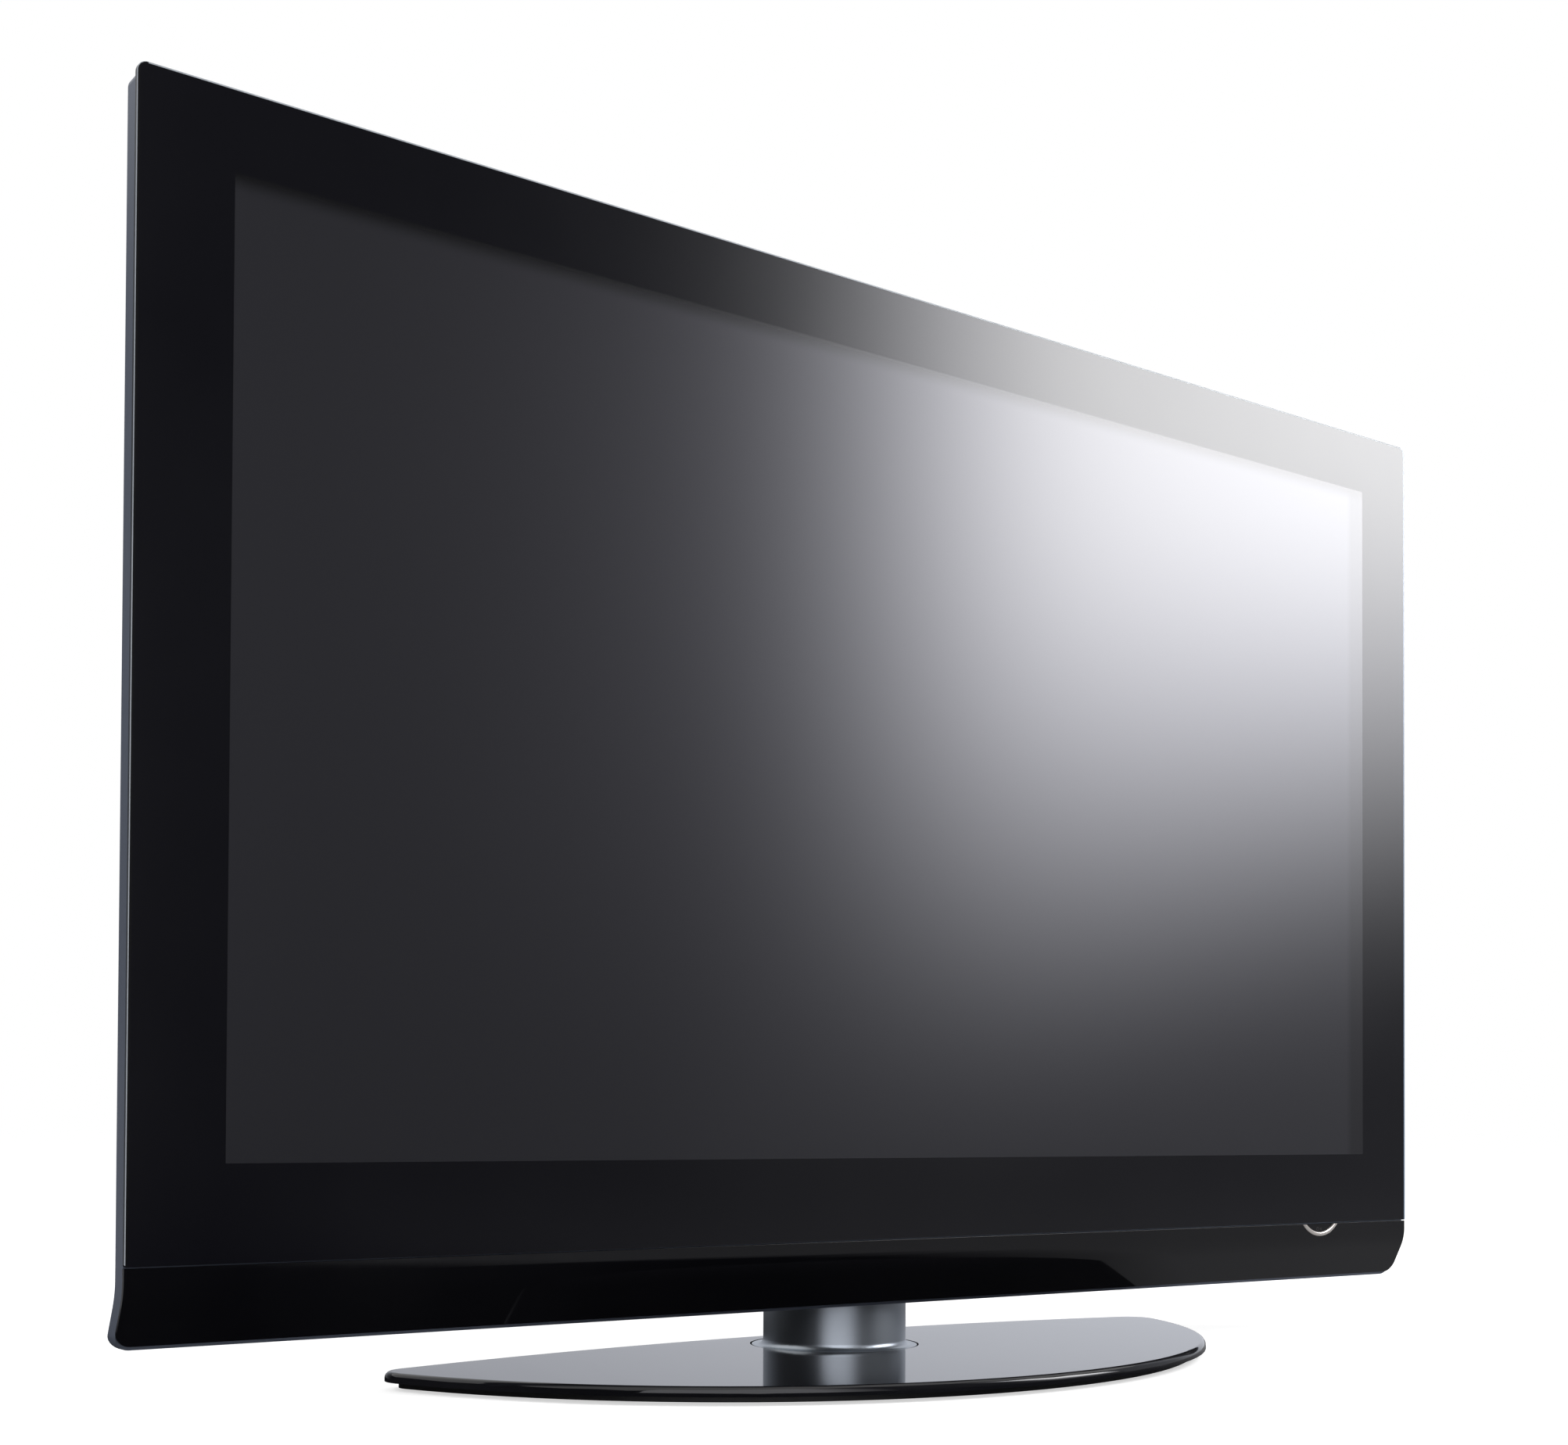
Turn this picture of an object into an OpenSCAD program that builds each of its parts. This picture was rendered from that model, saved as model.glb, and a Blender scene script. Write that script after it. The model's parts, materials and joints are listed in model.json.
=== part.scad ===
// Flat screen television on a swivelling pedestal.
// Millimetres, +Z up, the screen faces -Y, origin on the floor under the middle of the base's depth.

/* [Picture] */
// Width of the picture
picture_w = 1106; // [990:1:1240]
// Height of the picture
picture_h = 622; // [560:1:700]

/* [Front glass] */
// Black border at each side of the picture
side_border = 63; // [57:0.5:80]
// Black border above the picture
top_border = 53.5; // [48:0.5:70]
// Black border below the picture
low_border = 62.5; // [57:0.5:80]
// Thickness of the front glass
glass_t = 3.2; // [2.5:0.1:4]
// Radius of the glass's two upper corners
glass_corner_r = 7; // [4:0.5:12]
// Polished chamfer round the front of the glass
glass_chamfer = 0.8; // [0.4:0.1:1.2]

/* [Chin] */
// Height of the chin below the glass
chin_h = 50; // [44:0.5:52]
// Upright stretch of the chin under the seam
chin_flat = 7; // [5:0.5:10]
// Radius of the chin's bend
chin_bend_r = 40; // [25:1:50]
// Slant of the chin below its bend, in degrees
chin_angle = 26; // [18:1:28]
// Thickness of the chin panel
chin_t = 3; // [2.5:0.1:4]
// Radius of the chin's lower corners
chin_corner_r = 10; // [6:0.5:14]
// Gap of the seam between glass and chin
seam_gap = 0.8; // [0.4:0.1:1.5]
// Set-back of the chin's face from the glass's face
chin_step = 0.8; // [0.4:0.1:1.5]

/* [Status eye] */
// Distance of the status eye from the right-hand edge of the glass
eye_inset = 123; // [80:1:180]
// Width of the crescent
eye_w = 49; // [40:0.5:56]
// Drop of the crescent below the seam
eye_drop = 11.5; // [10:0.5:14]
// Thickness of the crescent at its middle
eye_bar = 3.6; // [3:0.1:6]

/* [Front frame] */
// Depth of the frame's side
frame_d = 14; // [12.5:0.1:14.5]
// Inset of the frame's sides from the glass's sides
frame_side_inset = 0.6; // [0.3:0.1:1.5]
// Inset of the frame's top from the glass's top
frame_top_inset = 4; // [2:0.5:5]
// Wall of the frame
frame_wall = 2.5; // [2:0.1:3]
// Height of the frame's rim that shows under the chin
frame_lip = 2.5; // [1.5:0.1:3.5]
// Radius of the frame's lower rear corner
frame_heel_r = 6; // [3:0.5:7]

/* [Display] */
// Thickness of each cell plate
plate_t = 2.8; // [2.4:0.1:3]
// Thickness of the heat-spreading sheet
pad_t = 1.5; // [1:0.1:1.6]
// Thickness of the chassis plate
chassis_t = 2; // [1.5:0.1:2.5]
// Height of the boards above the chassis
standoff_h = 8; // [6:0.5:12]

/* [Rear cover] */
// Depth from the glass's face to the rear face
cover_depth = 82; // [80:0.5:88]
// Depth from the glass's face to the cover's outer shelf
shelf_depth = 60; // [56:0.5:64]
// Sheet thickness of the rear cover
cover_t = 1.5; // [1.2:0.1:2]
// Width of a vent slot
vent_w = 4; // [3:0.5:6]
// Height of a vent slot
vent_h = 36; // [24:1:40]
// Distance between neighbouring vent slots
vent_pitch = 18; // [12:1:30]

/* [Wall mount] */
// Distance between the wall-mount holes across
wall_mount_w = 600; // [540:1:670]
// Distance between the wall-mount holes up
wall_mount_h = 400; // [360:1:440]
// Bore of the wall-mount posts
wall_mount_bore = 6.8; // [5:0.1:8.5]

/* [Base] */
// Depth of the base
base_d = 342; // [305:1:385]
// Radius of the base's front edge
base_front_r = 411; // [370:1:460]
// Radius of the base's rear edge
base_rear_r = 1600; // [1300:10:2400]
// Radius of the base's side corners
base_tip_r = 24; // [16:1:40]
// Thickness of the base's top plate
base_top_t = 7; // [6.6:0.1:9]
// Radius of the top plate's upper edge
base_edge_r = 4.5; // [2:0.5:5.5]
// Thickness of the base's lower plate
base_plate_t = 4.8; // [4:0.1:7]
// Inset of the lower plate
base_plate_inset = 10; // [6:0.5:14]
// Height of the feet
foot_h = 1.5; // [1:0.1:4]
// Diameter of a foot
foot_d = 24; // [16:1:30]

/* [Neck] */
// Distance of the swivel axis from the base's rear edge
neck_rear = 86; // [76:0.5:110]
// Gap between the frame's heel and the neck
neck_clear = 3; // [1:0.1:8]
// Height of the glass's lower edge above the base
glass_rise = 89.5; // [85:0.5:110]
// Diameter of the neck
neck_d = 115.5; // [104:0.5:130]
// Wall of the neck's sleeve
neck_wall = 1.6; // [1.2:0.1:2]
// Reach of the neck's flared foot beyond the neck
flare_w = 9.25; // [8:0.25:14]
// Radius of the fillet between the neck and its foot
flare_r = 5; // [3:0.5:6]
// Gap between the flared foot and the base
flare_gap = 1.5; // [1:0.1:2.5]

/* [Swivel] */
// Swivel to each side, in degrees
swivel_limit = 20; // [10:1:25]
// Diameter of the pivot pin
pivot_d = 16; // [14:0.5:18]
// Running clearance round the pivot pin
pivot_clear = 0.06; // [0.03:0.01:0.09]
// Distance of the stop pin from the swivel axis
stop_r = 44; // [42:0.5:46]
// Diameter of the stop pin
stop_d = 8; // [6:0.5:9]

/* [Keys] */
// Travel of a key
key_travel = 0.8; // [0.4:0.1:1]
// Height of a key
key_h = 13; // [9:0.5:15]
// Width of a key
key_w = 6; // [4.5:0.1:6.4]
// Distance between neighbouring keys
key_pitch = 24; // [20:0.5:26]
// Clearance round a key
key_clear = 0.3; // [0.2:0.05:0.4]

/* [Hidden] */

$fn = 64;
far = 400;
skin = 0.02;
arc_steps = 8;
edge_steps = 5;
seat_gap = 0.2;

// Heights, from the floor up
base_plate_z = foot_h;
deck_z = base_plate_z + base_plate_t;
base_top_z = deck_z + base_top_t;
glass_w = picture_w + 2 * side_border;
glass_h = low_border + picture_h + top_border;
glass_z = base_top_z + glass_rise;
glass_top_z = glass_z + glass_h;
picture_z = glass_z + low_border;
picture_top_z = picture_z + picture_h;
picture_mid_z = picture_z + picture_h / 2;
frame_top_z = glass_top_z - frame_top_inset;
chin_top_z = glass_z - seam_gap;
chin_end_z = glass_z - chin_h;
rim_z = chin_end_z - frame_lip;

// The chin's slope: depth behind the chin's face at the height z
bend_end_z = chin_top_z - chin_flat - chin_bend_r * sin(chin_angle);
bend_end_d = chin_bend_r * (1 - cos(chin_angle));
function chin_reach(z) = bend_end_d + (bend_end_z - z) * tan(chin_angle);
heel_run = frame_heel_r / tan((90 - chin_angle) / 2);

// Planes, from the front to the back
mask_t = 0.2;
mask_inset = 1;
tape_t = 0.6;
tape_inset = 3;
flange_t = 2.5;
panel_gap = 1;
frame_back_d = glass_t + mask_t + tape_t + frame_d;
frame_heel_d = frame_back_d + chin_reach(rim_z) - heel_run + frame_heel_r;
neck_r = neck_d / 2;
neck_y = base_d / 2 - neck_rear;
neck_set_back = frame_heel_d + neck_clear + neck_r;
glass_y = neck_y - neck_set_back;
glass_back_y = glass_y + glass_t;
mask_back_y = glass_back_y + mask_t;
frame_y = mask_back_y + tape_t;
flange_back_y = frame_y + flange_t;
frame_back_y = frame_y + frame_d;
panel_y = flange_back_y + panel_gap;
plate_mid_y = panel_y + plate_t;
plate_back_y = plate_mid_y + plate_t;
chassis_y = plate_back_y + pad_t;
chassis_back_y = chassis_y + chassis_t;
board_y = chassis_back_y + standoff_h;
board_t = 1.6;
board_back_y = board_y + board_t;
shelf_y = glass_y + shelf_depth;
cover_back_y = glass_y + cover_depth;
cover_face_y = cover_back_y - cover_t;
chin_y = glass_y + chin_step;
frame_hw = glass_w / 2 - frame_side_inset;

// Display sizes
opening_margin = 10;
gasket_edge = 2;
gasket_w = 2.5;
cell_front_side_lap = 22;
cell_front_end_lap = 13;
cell_rear_side_lap = 7;
cell_rear_end_lap = 24;
chassis_side_lap = 12;
chassis_end_lap = 13;
cell_front_w = picture_w + 2 * cell_front_side_lap;
cell_front_h = picture_h + 2 * cell_front_end_lap;
cell_rear_w = picture_w + 2 * cell_rear_side_lap;
cell_rear_h = picture_h + 2 * cell_rear_end_lap;
chassis_w = picture_w + 2 * chassis_side_lap;
chassis_h = picture_h + 2 * chassis_end_lap;
chassis_z = picture_mid_z - chassis_h / 2;
chassis_top_z = chassis_z + chassis_h;
lip_h = 8;
ear_w = 30;
ear_boss_r = 5;
ear_gap = 10;
ear_edge = 2;
ear_x = cell_front_w / 2 + ear_gap;
ear_heights = [for (k = [-1:1]) picture_mid_z + k * chassis_h / 3];

// Speakers
speaker_w = 280;
speaker_inset = 145.4;
speaker_x = frame_hw - speaker_inset - speaker_w / 2;
speaker_rise = 10;
speaker_z = glass_z + speaker_rise;
speaker_h = 35;
speaker_d = 32;
speaker_wall = 2.5;
driver_r = 13;
driver_reach = 12;
driver_seat = 1.7;
driver_rim = 3;
driver_rim_h = 2;
driver_magnet = 4;
driver_cone_h = 5;
driver_x = 62;
driver_y = frame_back_y + speaker_d / 2;
speaker_boss_r = 4;
speaker_boss_rise = 17;
speaker_boss_z = speaker_z + speaker_boss_rise;
speaker_boss_inset = 10;
speaker_boss_x = speaker_w / 2 - speaker_boss_inset;
speaker_bosses_at = [for (s = [-1, 1], k = [-1, 1]) s * speaker_x + k * speaker_boss_x];

// Screws
screw_r = 1.5;
screw_clear = 0.1;
screw_pilot_r = screw_r + screw_clear;
screw_hole_r = 2;
screw_head_r = 3.6;
screw_head_t = 2.4;
boss_r = 5;
boss_inset = 10;
well_r = 7;
well_bore_r = 5.2;
cover_screw_x = frame_hw - boss_inset;
cover_screw_top_z = frame_top_z - boss_inset;
low_screw_rise = 12;
cover_screw_low_z = glass_z + low_screw_rise;
side_screw_inset = 90;
mid_screw_rise = 60;
cover_screw_heights = [
    glass_z + side_screw_inset,
    picture_mid_z + mid_screw_rise,
    frame_top_z - side_screw_inset
];
top_screw_inset = 97;
top_screw_pitch = (cover_screw_x - top_screw_inset) / 2;
low_screw_inner_gap = 36;
low_screw_outer_gap = 60;
low_screws_x = [
    speaker_x - speaker_w / 2 - low_screw_inner_gap,
    speaker_x + speaker_w / 2 + low_screw_outer_gap
];
cover_screws_at = concat(
    [for (s = [-1, 1], z = cover_screw_heights) [s * cover_screw_x, z]],
    [for (k = [-2:2]) [k * top_screw_pitch, cover_screw_top_z]],
    [for (s = [-1, 1], x = low_screws_x) [s * x, cover_screw_low_z]]
);

// Rear cover outlines
cover_edge = 1.4;
cover_overhang = 6;
shelf_slope = 32;
shelf_low_slope = 18;
hump_side_step = 112;
hump_low_step = 6;
hump_top_step = 70;
cover_hw = frame_hw - cover_edge;
cover_z = glass_z - cover_overhang;
cover_top_z = frame_top_z - cover_edge;
shelf_hw = cover_hw - shelf_slope;
shelf_z = cover_z + shelf_low_slope;
shelf_top_z = cover_top_z - shelf_slope;
hump_hw = shelf_hw - hump_side_step;
hump_z = shelf_z + hump_low_step;
hump_top_z = shelf_top_z - hump_top_step;
hump_slope = 24;
face_hw = hump_hw - hump_slope;
face_z = hump_z + hump_slope;
face_top_z = hump_top_z - hump_slope;
cover_corner_r = 14;
vent_reach = 4;
vent_margin = 20;
upper_vent_rise = 120;
lower_vent_gap = 10;
grille_hw = 11;
grille_half_count = 6;
grille_gap = 0.5;

// Support structure
rail_w = 34;
rail_d = 23.4;
rail_t = 2;
rail_back_y = chassis_back_y + rail_d;
rail_margin = 20;
post_r = 9;
post_proud = 0.6;
post_back_y = cover_back_y + post_proud;
post_depth = 30;
hole_clear = 0.4;
crossbar_d = 18;
crossbar_t = 3;
crossbar_back_y = rail_back_y + crossbar_d;
crossbar_rise = 62;
crossbar_z = glass_z + crossbar_rise;
crossbar_h = 70;
crossbar_boss_r = 8;
bolt_r = 3;
bolt_head_r = 5.5;
bolt_head_t = 4;
bolt_x = 62;
bolt_inset = 13;
bolt_heights = [crossbar_z + bolt_inset, crossbar_z + crossbar_h - bolt_inset];
bolts_at = [for (s = [-1, 1], z = bolt_heights) [s * bolt_x, z]];

// Stand
flare_d = neck_d + 2 * flare_w;
race_t = 1.6;
glide_t = 1;
turntable_t = 3;
race_z = deck_z;
glide_z = race_z + race_t;
turntable_z = glide_z + glide_t;
turntable_top_z = turntable_z + turntable_t;
flare_t = 1.2;
well_hole_r = flare_d / 2 + flare_gap;
turntable_inset = 2.5;
turntable_r = flare_d / 2 - turntable_inset;
race_inset = 4;
pivot_r = pivot_d / 2;
pivot_head_lip = 6;
pivot_head_r = pivot_r + pivot_head_lip;
pivot_head_t = 2;
pivot_end = 2;
glide_bore_gap = 4;
glide_edge_gap = 1.5;
stop_top_gap = 0.4;
stop_slot_gap = 0.5;
spring_t = 1;
spring_rise = 0.8;
nut_z = turntable_top_z + spring_t + spring_rise;
nut_h = 10;
nut_across = 24;
spring_lip = 3;
spring_bore_gap = 0.4;
column_t = 3;
column_foot_gap = 3;
column_foot_r = neck_r - neck_wall - column_foot_gap;
column_foot_t = 4;
column_screw_r = 2.5;
column_screw_inset = 6.15;
column_screw_at_r = column_foot_r - column_screw_inset;
column_screw_lip = 2;
column_screw_head_t = 3;
column_screw_end = 0.5;
column_foot_w = 15.15;
column_r = column_foot_r - column_foot_w;
column_screw_angles = [0, 45, 135, 180, 240, 300];
bracket_t = 5;
bracket_drop = 22;
bracket_z = glass_z - bracket_drop;
bracket_top_z = bracket_z + bracket_t;
bracket_y = post_back_y;
bracket_back_y = bracket_y + bracket_t;
bracket_side_gap = 18;
bracket_hw = bolt_x + bracket_side_gap;
bracket_end_gap = 6;
bracket_end_z = crossbar_z + crossbar_h + bracket_end_gap;
bracket_foot_hw = 48;
bracket_waist_h = 40;
gusset_x = 40;
gusset_d = 32;
gusset_h = 84;
gusset_toe_h = 6;
gusset_top_d = 2;
bolt_clear = 0.3;
neck_cover_t = 2.2;
neck_cover_lap = 4;
neck_cover_hw = bracket_hw + neck_cover_lap;
neck_cover_top_d = 13;
neck_cover_top_z = bracket_end_z + neck_cover_lap;
neck_cover_brow = 70;
neck_cover_bevel = 6;
neck_cover_outer_r = 12;
neck_cover_inner_r = 10;

// Base outline
base_front_c = [0, base_front_r - base_d / 2];
base_rear_c = [0, base_d / 2 - base_rear_r];
tip_front = base_front_r - base_tip_r;
tip_rear = base_rear_r - base_tip_r;
tip_y = (base_front_c[1] ^ 2 - base_rear_c[1] ^ 2 - tip_front ^ 2 + tip_rear ^ 2)
    / (2 * (base_front_c[1] - base_rear_c[1]));
tip_x = sqrt(tip_front ^ 2 - (tip_y - base_front_c[1]) ^ 2);
tip_front_angle = atan2(tip_y - base_front_c[1], tip_x);
tip_rear_angle = atan2(tip_y - base_rear_c[1], tip_x);
front_steps = 44;
rear_steps = 14;
foot_inset = 30;
foot_margin = base_plate_inset + foot_inset;
inner_foot_angle = 20;
outer_foot_angle = 78.5 + tip_front_angle;
rear_foot_inset = 112;
rear_foot_x = tip_x - rear_foot_inset;
rear_foot_y = sqrt(base_rear_r ^ 2 - rear_foot_x ^ 2) + base_rear_c[1] - foot_margin;
front_feet_at = [
    for (s = [-1, 1], a = [inner_foot_angle, outer_foot_angle])
        base_front_c + (base_front_r - foot_margin) * [s * sin(a), -cos(a)]
];
rear_feet_at = [for (s = [-1, 1]) [s * rear_foot_x, rear_foot_y]];
feet_at = concat(front_feet_at, rear_feet_at);
base_screw_head_r = 4;
base_screw_head_t = 1.8;
base_screw_reach = 4;
pilot_end = 0.5;
base_screw_gap = 30;
base_screws_at = concat(
    [for (p = front_feet_at) p + [0, base_screw_gap]],
    [for (p = rear_feet_at) p - [0, base_screw_gap]]
);

// Keys
key_count = 7;
key_proud = 0.5;
key_guide_t = 2;
key_flange_t = 1.2;
key_flange_lip = 1.5;
key_rest_gap = 0.3;
key_stem_r = 1.4;
key_stem_l = 4;
key_corner_r = 1;
key_mid_y = (flange_back_y + frame_back_y) / 2;
key_drop = 60;
key_mid_z = picture_mid_z - key_drop;
key_face_x = frame_hw + key_proud;
key_guide_x = frame_hw - frame_wall - key_guide_t;
key_flange_x = key_guide_x - key_rest_gap - key_flange_t;
key_stem_x = key_flange_x - key_stem_l;
switch_x = key_stem_x - key_travel - key_rest_gap;
switch_d = 2.4;
switch_w = 6;
key_board_x = switch_x - switch_d - board_t;
key_strip_w = frame_back_y - flange_back_y - 2 * seat_gap;
key_strip_end = 6;
key_strip_h = key_count * key_pitch + 2 * key_strip_end;
key_post_h = 6;

// Boards: middle, width and height of each
scan_w = 150;
scan_h = 420;
scan_inset = 20;
scan_x = scan_inset + scan_w / 2 - chassis_w / 2;
scan_rise = 40;
scan_z = picture_mid_z + scan_rise;
power_w = 250;
power_h = 280;
power_gap = 8;
power_x = rail_w / 2 + power_gap + power_w / 2 - wall_mount_w / 2;
power_rise = 60;
power_z = picture_mid_z + power_rise;
logic_w = 180;
logic_h = 80;
logic_side = 60;
logic_x = -logic_side;
logic_drop = 175;
logic_z = picture_mid_z - logic_drop;
address_h = 44;
address_gap = 20;
address_end = 65;
address_w = chassis_w / 2 - address_gap - address_end;
address_x = address_gap + address_w / 2;
address_edge = 1;
address_z = chassis_z + address_h / 2 + address_edge;
main_w = 220;
main_h = 180;
main_gap = 23;
main_x = wall_mount_w / 2 - rail_w / 2 - main_gap - main_w / 2;
main_drop = 76;
main_z = picture_mid_z - main_drop;
main_depth = 26;
main_y = cover_back_y - main_depth;
main_back_y = main_y + board_t;
post_foot_r = 3;
board_edge = 8;
flat_boards = [
    [scan_x, scan_z, scan_w, scan_h],
    [-scan_x, scan_z, scan_w, scan_h],
    [power_x, power_z, power_w, power_h],
    [logic_x, logic_z, logic_w, logic_h],
    [-address_x, address_z, address_w, address_h],
    [address_x, address_z, address_w, address_h]
];

// Larger components on the boards
solder_t = 0.5;
fin_t = 2;
sink_base_t = 4;
drive_sink_w = 60;
drive_sink_h = 150;
drive_sink_d = 24;
drive_sink_rise = 60;
drive_sink_fins = 9;
drive_cap_r = 9;
drive_cap_d = 26;
drive_cap_x = 50;
drive_cap_rise = 40;
drive_cap_pitch = 26;
drive_cap_count = 6;
drive_plug_w = 16;
drive_plug_h = 36;
drive_plug_d = 7;
drive_plug_x = 58;
drive_plug_pitch = 56;
drive_coil_w = 44;
drive_coil_h = 50;
drive_coil_d = 12;
drive_coil_x = 10;
drive_coil_drop = 135;
flex_count = 8;
flex_w = 38;
flex_t = 0.4;
flex_foot = 6;
flex_top = 14;
flex_pitch = address_w / flex_count;
address_plug_w = 30;
address_plug_h = 14;
address_plug_d = 4;
address_plug_rise = 5;
logic_chip_w = 32;
logic_chip_d = 3;
logic_chip_x = 20;
memory_chip_w = 22;
memory_chip_x = 40;
logic_plug_w = 40;
logic_plug_h = 8;
logic_plug_d = 6;
logic_plug_pitch = 54;
logic_plug_drop = 32;
power_sink_w = 40;
power_sink_x = 70;
power_sink_h = 120;
power_sink_d = 32;
power_sink_rise = 45;
power_sink_fins = 6;
power_cap_r = 15;
power_cap_d = 32;
power_cap_rise = 40;
power_cap_pitch = 36;
power_cap_count = 3;
filter_cap_r = 7;
filter_cap_d = 22;
filter_cap_x = 90;
filter_cap_drop = 70;
filter_cap_pitch = 18;
filter_cap_count = 4;
transformer_w = 48;
transformer_h = 46;
transformer_d = 34;
transformer_x = 45;
transformer_drop = 76;
main_sink_w = 44;
main_sink_d = 14;
main_sink_x = 10;
main_sink_rise = 34;
main_sink_fins = 8;
main_chip_w = 24;
main_chip_x = 65;

// Sockets
jack_plate_w = 200;
jack_plate_h = 56;
jack_plate_t = 2;
jack_plate_lap = 5;
jack_drop = 52;
jack_plate_z = main_z - jack_drop;
jack_plate_y = cover_face_y - jack_plate_t;
video_w = 15.2;
video_h = 6.4;
video_wall = 0.5;
video_chamfer = 1.6;
video_depth = 10;
tongue_gap = 2;
tongue_h = 1.6;
video_pitch = 26;
video_count = 3;
socket_rise = 13;
video_z = jack_plate_z + socket_rise;
video_side = 52;
video_x = main_x - video_side;
phono_r = 4.2;
phono_bore_r = 1.7;
phono_proud = 8;
phono_pitch = 17;
phono_gap = 3;
phono_pin_l = 6;
phono_count = 5;
phono_z = jack_plate_z - socket_rise;
phono_side = 44;
phono_x = main_x - phono_side;
aerial_r = 4.75;
aerial_bore_r = 1.2;
aerial_proud = 10;
aerial_side = 74;
aerial_x = main_x + aerial_side;
aerial_body_w = 18;
inlet_x = power_x;
inlet_z = jack_plate_z;
inlet_w = 28;
inlet_h = 20.5;
inlet_wall = 1.8;
inlet_chamfer = 5;
inlet_d = 22;
inlet_flange_w = 50;
inlet_flange_h = 24;
inlet_flange_t = 2;
inlet_recess = 17;
pin_w = 2;
pin_h = 4;
pin_l = 11.5;
pin_x = 7;
pin_z = 2;
socket_clear = 0.3;

// Status eye
eye_r = (eye_w ^ 2 / 4 + eye_drop ^ 2) / (2 * eye_drop);
eye_x = glass_w / 2 - eye_inset;
eye_horn = 5;
eye_inner_drop = eye_drop - eye_bar;
eye_inner_w = eye_w - 2 * eye_horn;
eye_inner_r = (eye_inner_w ^ 2 / 4 + eye_inner_drop ^ 2) / (2 * eye_inner_drop);
eye_proud = 0.8;
eye_bevel = 0.7;
eye_recess = 1.2;
eye_clear = 0.15;
eye_top_gap = 0.4;
eye_pocket_w = 40;
eye_pocket_d = 8;
eye_pocket_h = 8;
eye_pocket_gap = 1.5;
sensor_off = 2;
sensor_w = 5;
lamp_off = 2.5;
eye_pocket_z = chin_top_z - eye_pocket_gap - eye_pocket_h;
chin_back_y = chin_y + chin_t + seat_gap;

// Points of an arc, both ends included
function arc(c, r, a0, a1, n) = [
    for (i = [0:n])
        c + r * [cos(a0 + (a1 - a0) * i / n), sin(a0 + (a1 - a0) * i / n)]
];

// Points of an arc without its last point, for arcs that run on into another
function open_arc(c, r, a0, a1, n) = [
    for (i = [0:n - 1])
        c + r * [cos(a0 + (a1 - a0) * i / n), sin(a0 + (a1 - a0) * i / n)]
];

function reversed(list) = [for (i = [len(list) - 1:-1:0]) list[i]];

// The chin's face in the Y-Z plane, moved back by shift, down to the height end_z
function chin_curve(shift, end_z) = concat(
    [[chin_y + shift, chin_top_z]],
    [for (i = [0:arc_steps])
        [
            chin_y + shift + chin_bend_r * (1 - cos(chin_angle * i / arc_steps)),
            chin_top_z - chin_flat - chin_bend_r * sin(chin_angle * i / arc_steps)
        ]
    ],
    [[chin_y + shift + chin_reach(end_z), end_z]]
);

// A Y-Z profile drawn out along X, centred
module along_x(length) {
    rotate([90, 0, 90])
        translate([0, 0, -length / 2])
            linear_extrude(length)
                children();
}

// An X-Z profile drawn out along Y
module along_y(y0, y1) {
    translate([0, y1, 0])
        rotate([90, 0, 0])
            linear_extrude(y1 - y0)
                children();
}

// A box between two heights and two planes, centred on X at x
module slab(x, w, y0, y1, z0, z1) {
    translate([x - w / 2, y0, z0])
        cube([w, y1 - y0, z1 - z0]);
}

// A round bar along Y
module rod(x, z, r, y0, y1) {
    translate([x, y1, z])
        rotate([90, 0, 0])
            cylinder(r = r, h = y1 - y0);
}

// A rectangle with rounded corners in the X-Z plane
module round_panel(hw, z0, z1, r) {
    polygon(concat(
        arc([hw - r, z0 + r], r, -90, 0, arc_steps),
        arc([hw - r, z1 - r], r, 0, 90, arc_steps),
        arc([r - hw, z1 - r], r, 90, 180, arc_steps),
        arc([r - hw, z0 + r], r, 180, 270, arc_steps)
    ));
}

// A panel with rounded upper corners only
module arched_panel(hw, z0, z1, r) {
    polygon(concat(
        [[-hw, z0], [hw, z0]],
        arc([hw - r, z1 - r], r, 0, 90, arc_steps),
        arc([r - hw, z1 - r], r, 90, 180, arc_steps)
    ));
}

// A panel with rounded lower corners only
module slung_panel(hw, z0, z1, r) {
    polygon(concat(
        [[hw, z1], [-hw, z1]],
        arc([r - hw, z0 + r], r, 180, 270, arc_steps),
        arc([hw - r, z0 + r], r, 270, 360, arc_steps)
    ));
}

module glass_shape(inset) {
    arched_panel(glass_w / 2 - inset, glass_z + inset, glass_top_z - inset, glass_corner_r - inset);
}

module picture_shape(margin) {
    translate([-picture_w / 2 - margin, picture_z - margin])
        square([picture_w + 2 * margin, picture_h + 2 * margin]);
}

// Plan of the base, drawn in by inset
module base_shape(inset) {
    fa = tip_front_angle;
    ra = tip_rear_angle;
    tip = [tip_x, tip_y];
    left_tip = [-tip_x, tip_y];
    polygon(concat(
        open_arc(base_front_c, base_front_r - inset, 180 - fa, 360 + fa, front_steps),
        open_arc(tip, base_tip_r - inset, fa, ra, arc_steps),
        open_arc(base_rear_c, base_rear_r - inset, ra, 180 - ra, rear_steps),
        open_arc(left_tip, base_tip_r - inset, 180 - ra, 180 - fa, arc_steps)
    ));
}

// Base

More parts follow.
